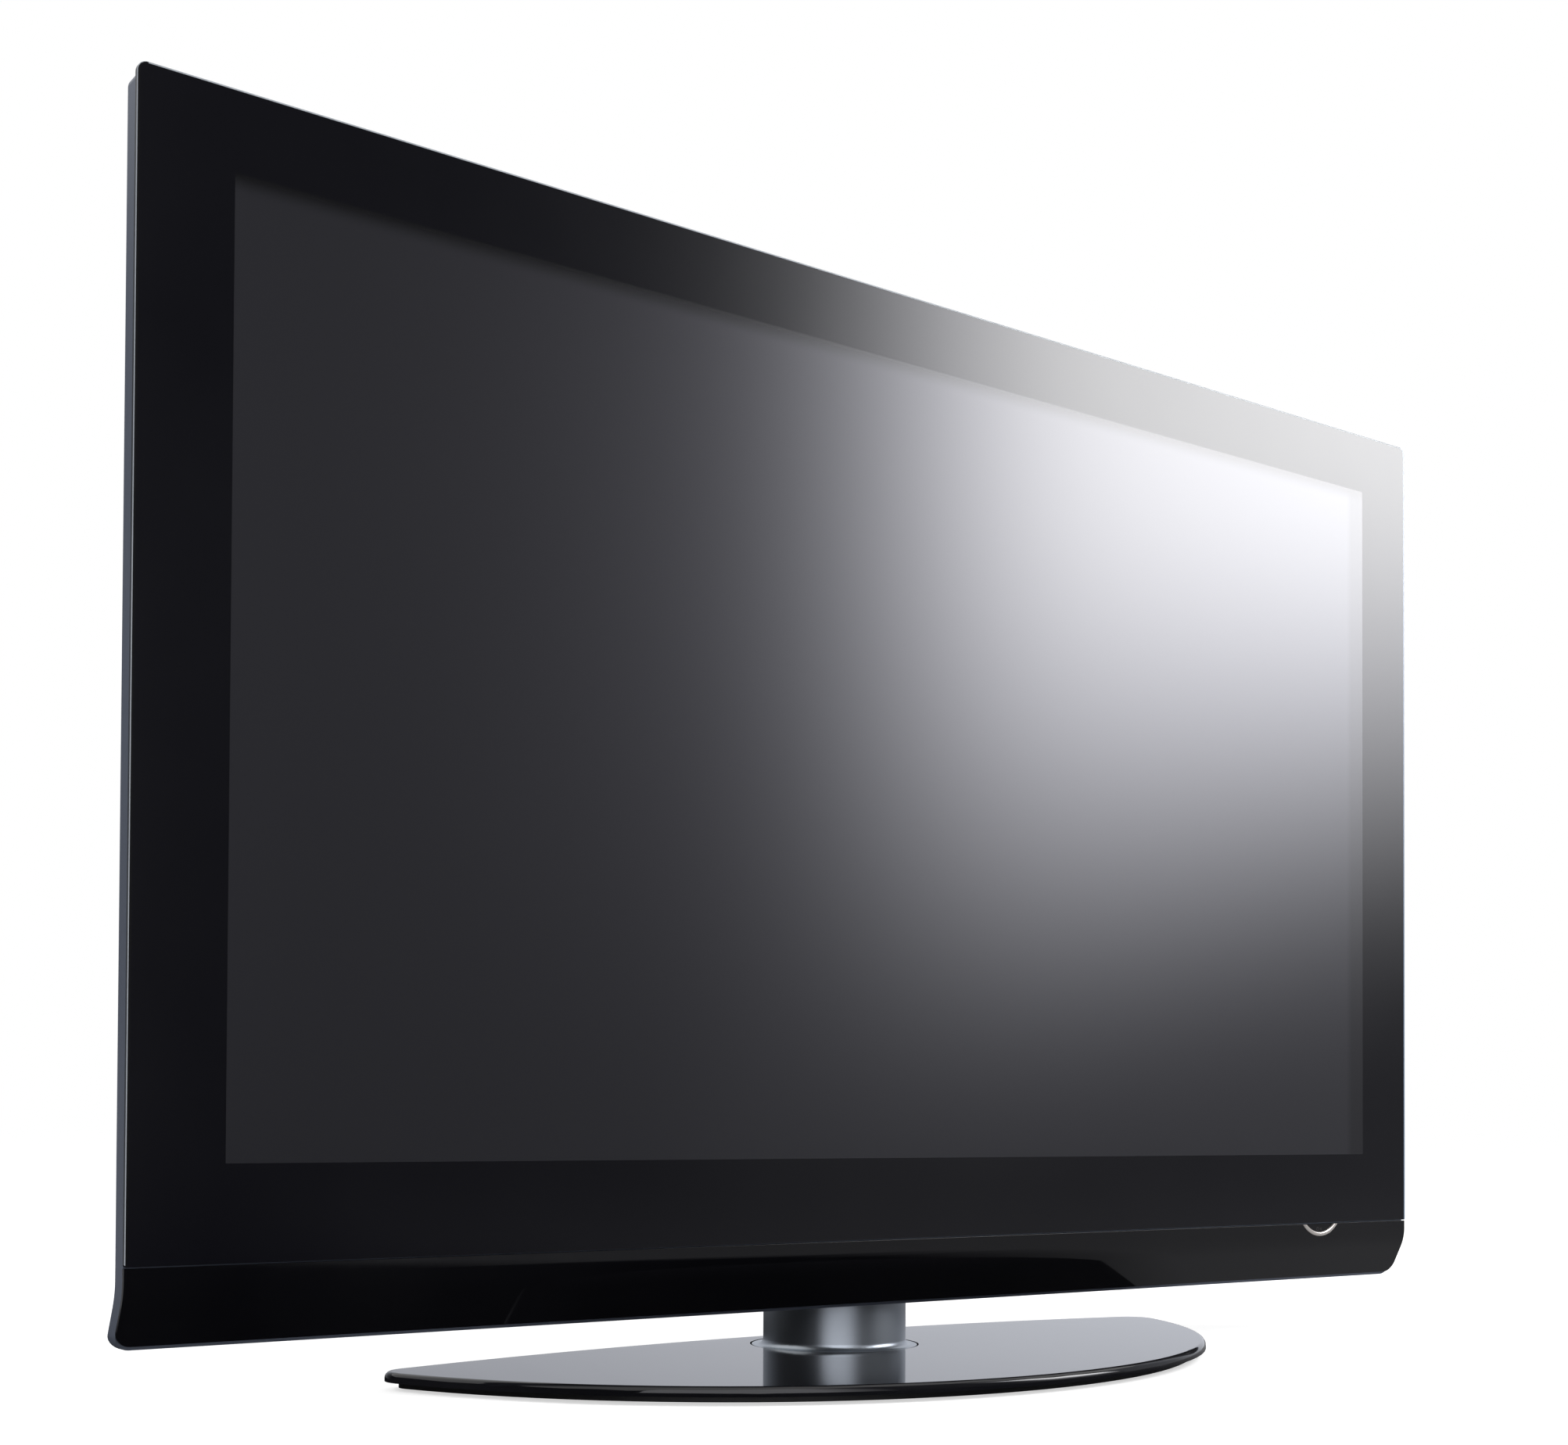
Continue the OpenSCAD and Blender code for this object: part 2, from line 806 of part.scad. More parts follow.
module base_top() {
    color("black")
        difference() {
            hull() {
                translate([0, 0, deck_z])
                    linear_extrude(base_top_t - base_edge_r)
                        base_shape(0);
                for (i = [1:edge_steps]) {
                    a = 90 * i / edge_steps;
                    translate([0, 0, base_top_z - base_edge_r * (1 - sin(a)) - skin])
                        linear_extrude(skin)
                            base_shape(base_edge_r * (1 - cos(a)));
                }
            }
            translate([0, neck_y, deck_z - 1])
                cylinder(r = well_hole_r, h = base_top_t + 2);
            for (p = base_screws_at)
                translate([p[0], p[1], deck_z - 1])
                    cylinder(r = screw_pilot_r, h = base_screw_reach + pilot_end + 1);
        }
}

module base_plate() {
    color("dimgray")
        difference() {
            translate([0, 0, base_plate_z])
                linear_extrude(base_plate_t)
                    base_shape(base_plate_inset);
            translate([0, neck_y, base_plate_z - 1])
                cylinder(r = pivot_r + screw_clear, h = base_plate_t + 2);
            translate([0, neck_y, base_plate_z - 1])
                cylinder(r = pivot_head_r + screw_clear, h = pivot_head_t + 1);
            for (p = base_screws_at) {
                translate([p[0], p[1], base_plate_z - 1])
                    cylinder(r = screw_hole_r, h = base_plate_t + 2);
                translate([p[0], p[1], base_plate_z - 1])
                    cylinder(r = base_screw_head_r + screw_clear, h = base_screw_head_t + 1);
            }
        }
}

module base_feet() {
    color("darkslategray")
        for (p = feet_at)
            translate([p[0], p[1], 0])
                cylinder(d = foot_d, h = foot_h);
}

module base_screws() {
    color("silver")
        for (p = base_screws_at)
            translate([p[0], p[1], base_plate_z])
                union() {
                    cylinder(r = base_screw_head_r, h = base_screw_head_t);
                    cylinder(r = screw_r, h = base_plate_t + base_screw_reach);
                }
}

// Swivel

module swivel_race() {
    color("gray")
        union() {
            translate([0, neck_y, race_z])
                difference() {
                    cylinder(r = turntable_r - race_inset, h = race_t);
                    translate([0, 0, -1])
                        cylinder(r = pivot_r + screw_clear, h = race_t + 2);
                }
            translate([0, neck_y + stop_r, race_z])
                cylinder(d = stop_d, h = turntable_top_z - race_z - stop_top_gap);
        }
}

module pivot_pin() {
    color("silver")
        translate([0, neck_y, base_plate_z])
            union() {
                cylinder(r = pivot_head_r, h = pivot_head_t);
                cylinder(r = pivot_r, h = nut_z + nut_h + pivot_end - base_plate_z);
            }
}

module glide_ring() {
    color("ivory")
        translate([0, neck_y, glide_z])
            difference() {
                cylinder(r = stop_r - stop_d / 2 - glide_edge_gap, h = glide_t);
                translate([0, 0, -1])
                    cylinder(r = pivot_r + glide_bore_gap, h = glide_t + 2);
            }
}

module turntable() {
    stop_swing = swivel_limit + asin((stop_d / 2 + stop_slot_gap) / stop_r);
    slot_hw = stop_d / 2 + stop_slot_gap;
    color("gray")
        translate([0, neck_y, turntable_z])
            difference() {
                cylinder(r = turntable_r, h = turntable_t);
                translate([0, 0, -1])
                    cylinder(r = pivot_r + pivot_clear, h = turntable_t + 2);
                rotate([0, 0, 90 - stop_swing])
                    rotate_extrude(angle = 2 * stop_swing)
                        translate([stop_r - slot_hw, -1])
                            square([2 * slot_hw, turntable_t + 2]);
                for (a = column_screw_angles)
                    rotate([0, 0, a])
                        translate([column_screw_at_r, 0, -1])
                            cylinder(r = column_screw_r + screw_clear, h = turntable_t + 2);
            }
}

module disc_spring() {
    inner = pivot_r + spring_bore_gap;
    outer = nut_across / 2 + spring_lip;
    color("slategray")
        translate([0, neck_y, turntable_top_z])
            rotate_extrude()
                polygon([
                    [outer - spring_t, 0],
                    [outer, 0],
                    [outer, spring_t],
                    [inner + spring_t, spring_t + spring_rise],
                    [inner, spring_t + spring_rise],
                    [inner, spring_rise]
                ]);
}

module pivot_nut() {
    color("silver")
        translate([0, neck_y, nut_z])
            difference() {
                cylinder(r = nut_across / 2 / cos(30), h = nut_h, $fn = 6);
                translate([0, 0, -1])
                    cylinder(r = pivot_r + screw_clear, h = nut_h + 2);
            }
}

// Neck

module neck_sleeve() {
    foot_top = turntable_top_z + flare_t;
    inner_r = neck_r - neck_wall;
    color("silver")
        translate([0, neck_y, 0])
            rotate_extrude($fn = 128)
                polygon(concat(
                    [[inner_r, turntable_top_z], [flare_d / 2, turntable_top_z], [flare_d / 2, foot_top]],
                    arc([neck_r + flare_r, foot_top + flare_r], flare_r, 270, 180, arc_steps),
                    [[neck_r, bracket_z], [inner_r, bracket_z]]
                ));
}

module neck_column() {
    color("gray")
        translate([0, neck_y, 0])
            difference() {
                union() {
                    translate([0, 0, turntable_top_z])
                        cylinder(r = column_foot_r, h = column_foot_t);
                    translate([0, 0, turntable_top_z])
                        cylinder(r = column_r, h = bracket_z - turntable_top_z);
                }
                translate([0, 0, turntable_top_z - 1])
                    cylinder(r = column_r - column_t, h = bracket_z);
                for (a = column_screw_angles)
                    rotate([0, 0, a])
                        translate([column_screw_at_r, 0, turntable_top_z - 1])
                            cylinder(r = column_screw_r + 2 * screw_clear, h = column_foot_t + 2);
            }
}

module column_screws() {
    color("silver")
        for (a = column_screw_angles)
            translate([0, neck_y, 0])
                rotate([0, 0, a])
                    translate([column_screw_at_r, 0, 0])
                        union() {
                            translate([0, 0, turntable_z + column_screw_end])
                                cylinder(r = column_screw_r, h = turntable_t + column_foot_t);
                            translate([0, 0, turntable_top_z + column_foot_t])
                                cylinder(r = column_screw_r + column_screw_lip, h = column_screw_head_t);
                        }
}

module stand_bracket() {
    color("dimgray")
        difference() {
            union() {
                translate([0, neck_y, bracket_z])
                    cylinder(r = neck_r, h = bracket_t);
                along_y(bracket_y, bracket_back_y)
                    polygon([
                        [-bracket_foot_hw, bracket_z],
                        [bracket_foot_hw, bracket_z],
                        [bracket_hw, bracket_top_z + bracket_waist_h],
                        [bracket_hw, bracket_end_z],
                        [-bracket_hw, bracket_end_z],
                        [-bracket_hw, bracket_top_z + bracket_waist_h]
                    ]);
                for (s = [-1, 1])
                    translate([s * gusset_x, 0, 0])
                        along_x(bracket_t)
                            polygon([
                                [bracket_back_y - 1, bracket_top_z - 1],
                                [bracket_back_y + gusset_d, bracket_top_z - 1],
                                [bracket_back_y + gusset_d, bracket_top_z + gusset_toe_h],
                                [bracket_back_y + gusset_top_d, bracket_top_z + gusset_h],
                                [bracket_back_y - 1, bracket_top_z + gusset_h]
                            ]);
            }
            for (p = bolts_at)
                rod(p[0], p[1], bolt_r + bolt_clear, bracket_y - 1, bracket_back_y + 1);
        }
}

module bracket_bolts() {
    color("silver")
        for (p = bolts_at)
            union() {
                rod(p[0], p[1], bolt_r, crossbar_back_y, bracket_back_y);
                rod(p[0], p[1], bolt_head_r, bracket_back_y, bracket_back_y + bolt_head_t);
            }
}

// Body of the neck's rear cover, drawn in by inset
module neck_cover_body(inset) {
    top_back_y = bracket_back_y + neck_cover_top_d;
    hull() {
        translate([0, 0, bracket_top_z])
            linear_extrude(skin)
                intersection() {
                    translate([0, neck_y])
                        circle(r = neck_r - inset, $fn = 48);
                    translate([-far, bracket_back_y])
                        square([2 * far, far]);
                }
        along_y(bracket_back_y, top_back_y - neck_cover_bevel - inset)
            arched_panel(
                neck_cover_hw - inset,
                neck_cover_top_z - neck_cover_brow,
                neck_cover_top_z - inset,
                neck_cover_outer_r
            );
        along_y(bracket_back_y, top_back_y - inset)
            arched_panel(
                neck_cover_hw - neck_cover_bevel - inset,
                neck_cover_top_z - neck_cover_brow,
                neck_cover_top_z - neck_cover_bevel - inset,
                neck_cover_inner_r
            );
    }
}

module neck_cover() {
    color("black")
        difference() {
            neck_cover_body(0);
            translate([0, -1, -1])
                neck_cover_body(neck_cover_t);
            translate([0, 0, 1])
                neck_cover_body(neck_cover_t);
        }
}

// Front

module front_glass() {
    color([0.05, 0.05, 0.06])
        hull() {
            along_y(glass_y + glass_chamfer, glass_back_y)
                glass_shape(0);
            along_y(glass_y, glass_y + glass_chamfer)
                glass_shape(glass_chamfer);
        }
}

module glass_mask() {
    color("black")
        along_y(glass_back_y, mask_back_y)
            difference() {
                glass_shape(mask_inset);
                picture_shape(0);
            }
}

module glass_tape() {
    color("dimgray")
        along_y(mask_back_y, frame_y)
            difference() {
                arched_panel(
                    frame_hw - tape_inset,
                    glass_z + tape_inset,
                    frame_top_z - tape_inset,
                    glass_corner_r
                );
                picture_shape(opening_margin + tape_inset);
            }
}

// Side profile of the frame's foot behind the chin panel, with a rounded heel
module chin_block_profile() {
    front = chin_t + seat_gap;
    back = frame_back_y - chin_y;
    heel = [chin_y + back + chin_reach(rim_z), rim_z];
    heel_c = heel + [-heel_run, frame_heel_r];
    back_curve = chin_curve(back, rim_z);
    polygon(concat(
        chin_curve(front, rim_z),
        arc(heel_c, frame_heel_r, 270, 360 + chin_angle, arc_steps),
        [for (i = [len(back_curve) - 2:-1:0]) back_curve[i]]
    ));
}

module front_frame() {
    color([0.45, 0.48, 0.53])
        difference() {
            union() {
                difference() {
                    along_y(frame_y, frame_back_y)
                        arched_panel(frame_hw, chin_top_z, frame_top_z, glass_corner_r);
                    along_y(flange_back_y, frame_back_y + 1)
                        arched_panel(
                            frame_hw - frame_wall,
                            glass_z + frame_wall,
                            frame_top_z - frame_wall,
                            glass_corner_r - frame_wall
                        );
                    along_y(frame_y - 1, frame_back_y + 1)
                        picture_shape(opening_margin);
                }
                intersection() {
                    along_x(2 * frame_hw)
                        chin_block_profile();
                    along_y(-far, far)
                        slung_panel(frame_hw, rim_z, glass_z, chin_corner_r);
                }
                for (p = cover_screws_at)
                    rod(p[0], p[1], boss_r, flange_back_y - 1, frame_back_y);
                for (x = speaker_bosses_at)
                    rod(x, speaker_boss_z, speaker_boss_r, flange_back_y - 1, frame_back_y);
                for (s = [-1, 1], z = ear_heights)
                    rod(s * ear_x, z, ear_boss_r, flange_back_y - 1, chassis_y);
            }
            for (p = cover_screws_at)
                rod(p[0], p[1], screw_pilot_r, flange_back_y, frame_back_y + 1);
            for (s = [-1, 1], z = ear_heights)
                rod(s * ear_x, z, screw_pilot_r, flange_back_y, chassis_y + 1);
            slab(
                eye_x, eye_pocket_w,
                chin_back_y - 1, chin_back_y + eye_pocket_d,
                eye_pocket_z, eye_pocket_z + eye_pocket_h
            );
            for (i = [0:key_count - 1])
                key_opening(i, frame_hw - frame_wall - 1, frame_wall + 2);
        }
}

module chin_panel() {
    color([0.07, 0.07, 0.08])
        difference() {
            intersection() {
                along_x(glass_w)
                    polygon(concat(chin_curve(0, chin_end_z), reversed(chin_curve(chin_t, chin_end_z))));
                along_y(-far, far)
                    slung_panel(glass_w / 2, chin_end_z, chin_top_z + 1, chin_corner_r);
            }
            rod(eye_x, chin_top_z - eye_drop + eye_r, eye_r, chin_y - 1, chin_y + chin_t + 2);
        }
}

// Status eye

// A disc along Y whose edge leans in or out by lean over its front stretch
module leaning_disc(x, z, r, lean, y0, y1, stretch) {
    depth = y1 - y0;
    translate([x, y1, z])
        rotate([90, 0, 0])
            rotate_extrude($fn = 96)
                polygon([[0, 0], [r, 0], [r, depth - stretch], [r + lean, depth], [0, depth]]);
}

module eye_crescent() {
    front_y = chin_y - eye_proud;
    back_y = chin_y + chin_t;
    outer_z = chin_top_z - eye_drop + eye_r;
    inner_z = chin_top_z - eye_inner_drop + eye_inner_r;
    color("gainsboro")
        difference() {
            leaning_disc(eye_x, outer_z, eye_r - eye_clear, -eye_bevel, front_y, back_y, eye_proud);
            leaning_disc(eye_x, inner_z, eye_inner_r, eye_bevel, front_y - skin, back_y + 1, eye_proud);
            slab(eye_x, 2 * far, -far, far, chin_top_z - eye_top_gap, chin_top_z + far);
        }
}

module eye_window() {
    color([0.1, 0.02, 0.02])
        along_y(chin_y + eye_recess, chin_y + chin_t)
            difference() {
                translate([eye_x, chin_top_z - eye_inner_drop + eye_inner_r])
                    circle(r = eye_inner_r - eye_clear, $fn = 96);
                translate([eye_x - far, chin_top_z - eye_top_gap])
                    square(2 * far);
            }
}

module sensor_board() {
    back_y = chin_back_y + eye_pocket_d;
    part_z = eye_pocket_z + eye_pocket_h - 3;
    color("darkgreen")
        union() {
            slab(
                eye_x, eye_pocket_w - 1,
                back_y - board_t, back_y,
                eye_pocket_z + 0.5, eye_pocket_z + eye_pocket_h - 0.5
            );
            slab(
                eye_x - sensor_off, sensor_w,
                back_y - board_t - 4, back_y - board_t,
                part_z - 3, part_z + 2
            );
            rod(eye_x - sensor_off, part_z - 0.5, 2, back_y - board_t - 5.4, back_y - board_t - 3);
            rod(eye_x + lamp_off, part_z - 0.5, 1.5, back_y - board_t - 5.4, back_y - board_t);
        }
}

// Display

module contact_gasket() {
    color("silver")
        along_y(mask_back_y, panel_y)
            difference() {
                picture_shape(opening_margin - gasket_edge);
                picture_shape(opening_margin - gasket_edge - gasket_w);
            }
}

module cell_front_plate() {
    color([0.16, 0.16, 0.18])
        slab(
            0, cell_front_w, panel_y, plate_mid_y,
            picture_mid_z - cell_front_h / 2, picture_mid_z + cell_front_h / 2
        );
}

module cell_rear_plate() {
    color([0.3, 0.32, 0.33])
        slab(
            0, cell_rear_w, plate_mid_y, plate_back_y,
            picture_mid_z - cell_rear_h / 2, picture_mid_z + cell_rear_h / 2
        );
}

module heat_sheet() {
    color("lightgray")
        slab(0, picture_w, plate_back_y, chassis_y, picture_z + gasket_edge, picture_top_z - gasket_edge);
}

// Stand-offs under the corners of a board
module board_posts(x, z, w, h, y1) {
    for (s = [-1, 1], k = [-1, 1])
        rod(x + s * (w / 2 - board_edge), z + k * (h / 2 - board_edge), post_foot_r, chassis_back_y - 1, y1);
}

module chassis_plate() {
    ear_reach = ear_x + ear_boss_r + ear_edge;
    color("silver")
        difference() {
            union() {
                slab(0, chassis_w, chassis_y, chassis_back_y, chassis_z, chassis_top_z);
                slab(
                    0, chassis_w, chassis_y, chassis_back_y + lip_h,
                    chassis_top_z - chassis_t, chassis_top_z
                );
                for (s = [-1, 1])
                    slab(
                        s * (chassis_w - chassis_t) / 2, chassis_t,
                        chassis_y, chassis_back_y + lip_h, chassis_z, chassis_top_z
                    );
                for (z = ear_heights)
                    slab(0, 2 * ear_reach, chassis_y, chassis_back_y, z - ear_w / 2, z + ear_w / 2);
                for (b = flat_boards)
                    board_posts(b[0], b[1], b[2], b[3], board_y);
                board_posts(main_x, main_z, main_w, main_h, main_y);
            }
            for (s = [-1, 1], z = ear_heights)
                rod(s * ear_x, z, screw_hole_r, chassis_y - 1, chassis_back_y + 1);
        }
}

module chassis_screws() {
    color("gray")
        for (s = [-1, 1], z = ear_heights)
            union() {
                rod(s * ear_x, z, screw_r, chassis_y - 5, chassis_back_y);
                rod(s * ear_x, z, screw_head_r, chassis_back_y, chassis_back_y + screw_head_t);
            }
}

module drive_flexes() {
    flex_z = chassis_z - seat_gap - flex_t;
    color("peru")
        for (s = [-1, 1], k = [0:flex_count - 1])
            translate([s * address_x + (k - (flex_count - 1) / 2) * flex_pitch, 0, 0])
                along_x(flex_w)
                    polygon([
                        [plate_back_y, flex_z - flex_foot],
                        [plate_back_y + flex_t, flex_z - flex_foot],
                        [plate_back_y + flex_t, flex_z],
                        [board_back_y + flex_t, flex_z],
                        [board_back_y + flex_t, flex_z + flex_top],
                        [board_back_y, flex_z + flex_top],
                        [board_back_y, flex_z + flex_t],
                        [plate_back_y, flex_z + flex_t]
                    ]);
}

// Boards

module board(x, z, w, h, y0) {
    slab(x, w, y0, y0 + board_t, z - h / 2, z + h / 2);
}

// A block such as a chip, plug or transformer, standing on a board whose rear face is at y
module block(x, z, w, h, y, depth) {
    slab(x, w, y - solder_t, y + depth, z - h / 2, z + h / 2);
}

// A finned heat sink standing on a board
module heat_sink(x, z, w, h, y, depth, fins) {
    block(x, z, w, h, y, sink_base_t);
    for (i = [0:fins - 1])
        block(x - (w - fin_t) / 2 + i * (w - fin_t) / (fins - 1), z, fin_t, h, y, depth);
}

// A row of round capacitors standing on a board
module capacitors(x, z, r, y, depth, count, pitch) {
    for (i = [0:count - 1])
        rod(x, z + (i - (count - 1) / 2) * pitch, r, y - solder_t, y + depth);
}

module drive_board(x) {
    side = sign(x);
    y = board_back_y;
    union() {
        board(x, scan_z, scan_w, scan_h, board_y);
        heat_sink(x, scan_z + drive_sink_rise, drive_sink_w, drive_sink_h, y, drive_sink_d, drive_sink_fins);
        capacitors(
            x - side * drive_cap_x, scan_z + drive_cap_rise,
            drive_cap_r, y, drive_cap_d, drive_cap_count, drive_cap_pitch
        );
        for (k = [-3:3])
            block(
                x + side * drive_plug_x, scan_z + k * drive_plug_pitch,
                drive_plug_w, drive_plug_h, y, drive_plug_d
            );
        block(x - side * drive_coil_x, scan_z - drive_coil_drop, drive_coil_w, drive_coil_h, y, drive_coil_d);
    }
}

module scan_board() {
    color("darkgreen")
        drive_board(scan_x);
}

module sustain_board() {
    color("darkgreen")
        drive_board(-scan_x);
}

module address_boards() {
    plug_z = address_z + address_plug_rise;
    color("darkgreen")
        for (s = [-1, 1])
            union() {
                board(s * address_x, address_z, address_w, address_h, board_y);
                for (k = [-3:3])
                    block(
                        s * address_x + k * flex_pitch, plug_z,
                        address_plug_w, address_plug_h, board_back_y, address_plug_d
                    );
            }
}

module logic_board() {
    y = board_back_y;
    color("darkgreen")
        union() {
            board(logic_x, logic_z, logic_w, logic_h, board_y);
            block(logic_x - logic_chip_x, logic_z, logic_chip_w, logic_chip_w, y, logic_chip_d);
            block(logic_x + memory_chip_x, logic_z, memory_chip_w, memory_chip_w, y, logic_chip_d);
            for (k = [-1:1])
                block(
                    logic_x + k * logic_plug_pitch, logic_z - logic_plug_drop,
                    logic_plug_w, logic_plug_h, y, logic_plug_d
                );
        }
}

module power_board() {
    y = board_back_y;
    sink_z = power_z + power_sink_rise;
    color("burlywood")
        union() {
            board(power_x, power_z, power_w, power_h, board_y);
            for (s = [-1, 1]) {
                heat_sink(
                    power_x + s * power_sink_x, sink_z,
                    power_sink_w, power_sink_h, y, power_sink_d, power_sink_fins
                );
                block(
                    power_x + s * transformer_x, power_z - transformer_drop,
                    transformer_w, transformer_h, y, transformer_d
                );
            }
            capacitors(
                power_x, power_z + power_cap_rise,
                power_cap_r, y, power_cap_d, power_cap_count, power_cap_pitch
            );
            capacitors(
                power_x + filter_cap_x, power_z - filter_cap_drop,
                filter_cap_r, y, filter_cap_d, filter_cap_count, filter_cap_pitch
            );
        }
}

module main_board() {
    y = main_back_y;
    part_z = main_z + main_sink_rise;
    color("darkgreen")
        union() {
            board(main_x, main_z, main_w, main_h, main_y);
            heat_sink(main_x - main_sink_x, part_z, main_sink_w, main_sink_w, y, main_sink_d, main_sink_fins);
            for (s = [-1, 1])
                block(main_x + s * main_chip_x, part_z, main_chip_w, main_chip_w, y, logic_chip_d);
        }
}

// Support structure

module support_rails() {
    color("lightsteelblue")
        for (s = [-1, 1])
            translate([s * wall_mount_w / 2, 0, chassis_z + rail_margin + address_h])
                linear_extrude(chassis_h - 2 * rail_margin - address_h)
                    translate([-rail_w / 2, chassis_back_y])
                        difference() {
                            square([rail_w, rail_d]);
                            translate([rail_t, -1])
                                square([rail_w - 2 * rail_t, rail_d - rail_t + 1]);
                        }
}

module wall_mount_posts() {
    color("silver")
        for (s = [-1, 1], k = [-1, 1])
            translate([s * wall_mount_w / 2, 0, picture_mid_z + k * wall_mount_h / 2])
                difference() {
                    rod(0, 0, post_r, rail_back_y, post_back_y);
                    rod(0, 0, wall_mount_bore / 2, post_back_y - post_depth, post_back_y + 1);
                }
}

module crossbar() {
    color("lightsteelblue")
        difference() {
            union() {
                along_x(wall_mount_w + rail_w)
                    translate([rail_back_y, crossbar_z])
                        difference() {
                            square([crossbar_d, crossbar_h]);
                            translate([-1, crossbar_t])
                                square([crossbar_d - crossbar_t + 1, crossbar_h - 2 * crossbar_t]);
                        }
                for (p = bolts_at)
                    rod(p[0], p[1], crossbar_boss_r, crossbar_back_y - 1, post_back_y);
            }
            for (p = bolts_at)
                rod(p[0], p[1], bolt_r + screw_clear, crossbar_back_y - crossbar_t - 1, post_back_y + 1);
        }
}

// Speakers

module speaker_box(x) {
    y0 = frame_back_y;
    difference() {
        slab(x, speaker_w, y0, y0 + speaker_d, speaker_z, speaker_z + speaker_h);
        slab(
            x, speaker_w - 2 * speaker_wall,
            y0 + speaker_wall, y0 + speaker_d - speaker_wall,
            speaker_z + speaker_wall, speaker_z + speaker_h - speaker_wall
        );
        for (k = [-1, 1])
            translate([x + k * driver_x, driver_y, speaker_z - 1])
                cylinder(r = driver_r - driver_seat, h = speaker_wall + 2);
    }
}

module speaker_left() {
    color("black")
        speaker_box(-speaker_x);
}

module speaker_right() {
    color("black")
        speaker_box(speaker_x);
}

// Each driver is a basket with a hollow cone, hung on the floor of its box
module speaker_drivers() {
    z0 = speaker_z + speaker_wall;
    color("darkgray")
        for (s = [-1, 1], k = [-1, 1])
            translate([s * speaker_x + k * driver_x, driver_y, z0])
                rotate_extrude()
                    polygon([
                        [driver_r - driver_rim, 0],
                        [driver_r, 0],
                        [driver_r, driver_rim_h],
                        [driver_r - driver_magnet, driver_reach - driver_rim],
                        [driver_r - driver_magnet, driver_reach],
                        [0, driver_reach],
                        [0, driver_reach - driver_cone_h]
                    ]);
}

// Rear cover

module cover_slab(y, hw, z0, z1) {
    along_y(y - skin, y)
        round_panel(hw, z0, z1, cover_corner_r);
}

// Lower step of the cover, drawn in by inset
module cover_tray(inset) {
    rim_y = inset > 0 ? frame_back_y - 1 : frame_back_y;
    hull() {
        cover_slab(rim_y + skin, cover_hw - inset, cover_z + inset, cover_top_z - inset);
        cover_slab(shelf_y - inset, shelf_hw - inset, shelf_z + inset, shelf_top_z - inset);
    }
}

// Raised middle of the cover, drawn in by inset
module cover_hump(inset) {
    hull() {
        cover_slab(shelf_y - 2 * cover_t, hump_hw - inset, hump_z + inset, hump_top_z - inset);
        cover_slab(cover_back_y - inset, face_hw - inset, face_z + inset, face_top_z - inset);
    }
}

// A row of upright vent slots with round ends between x0 and x1
module vent_row(x0, x1, z, y) {
    count = floor((x1 - x0) / vent_pitch);
    first = (x0 + x1 - (count - 1) * vent_pitch) / 2;
    r = vent_w / 2;
    end = vent_h / 2 - r;
    for (i = [0:count - 1])
        translate([first + i * vent_pitch, 0, z])
            along_y(y - vent_reach, y + vent_reach)
                polygon(concat(
                    arc([0, end], r, 0, 180, edge_steps),
                    arc([0, -end], r, 180, 360, edge_steps)
                ));
}

module rear_cover() {
    shelf_vent_z = (hump_top_z + shelf_top_z) / 2;
    upper_vent_z = picture_mid_z + upper_vent_rise;
    lower_vent_z = jack_plate_z;
    lower_vent_x = main_x + jack_plate_w / 2 + jack_plate_lap + lower_vent_gap;
    color("black")
        difference() {
            union() {
                difference() {
                    union() {
                        cover_tray(0);
                        cover_hump(0);
                    }
                    cover_tray(cover_t);
                    cover_hump(cover_t);
                }
                intersection() {
                    cover_tray(0);
                    for (p = cover_screws_at)
                        rod(p[0], p[1], well_r, frame_back_y, shelf_y);
                }
            }
            for (p = cover_screws_at) {
                rod(p[0], p[1], well_bore_r, frame_back_y + cover_t, cover_back_y);
                rod(p[0], p[1], screw_hole_r, frame_back_y - 1, cover_back_y);
            }
            for (s = [-1, 1], k = [-1, 1])
                rod(
                    s * wall_mount_w / 2, picture_mid_z + k * wall_mount_h / 2,
                    post_r + hole_clear, cover_face_y - 1, cover_back_y + 1
                );
            for (p = bolts_at)
                rod(p[0], p[1], crossbar_boss_r + hole_clear, cover_face_y - 1, cover_back_y + 1);
            slab(
                main_x, jack_plate_w, cover_face_y - 1, cover_back_y + 1,
                jack_plate_z - jack_plate_h / 2, jack_plate_z + jack_plate_h / 2
            );
            along_y(cover_face_y - 1, cover_back_y + 1)
                inlet_outline(-socket_clear);
            vent_row(-hump_hw - vent_margin, hump_hw + vent_margin, shelf_vent_z, shelf_y);
            vent_row(-face_hw + vent_margin, face_hw - vent_margin, upper_vent_z, cover_back_y);
            vent_row(-face_hw + vent_margin, -lower_vent_x, lower_vent_z, cover_back_y);
            vent_row(lower_vent_x, face_hw - vent_margin, lower_vent_z, cover_back_y);
            for (s = [-1, 1], k = [-grille_half_count:grille_half_count])
                slab(
                    s * speaker_x + k * vent_pitch, vent_w,
                    driver_y - grille_hw, driver_y + grille_hw, cover_z - 1, speaker_z - grille_gap
                );
        }
}

module cover_screws() {
    color("gray")
        for (p = cover_screws_at)
            union() {
                rod(p[0], p[1], screw_r, flange_back_y + 2, frame_back_y + cover_t);
                rod(p[0], p[1], screw_head_r, frame_back_y + cover_t, frame_back_y + cover_t + screw_head_t);
            }
}

// Sockets

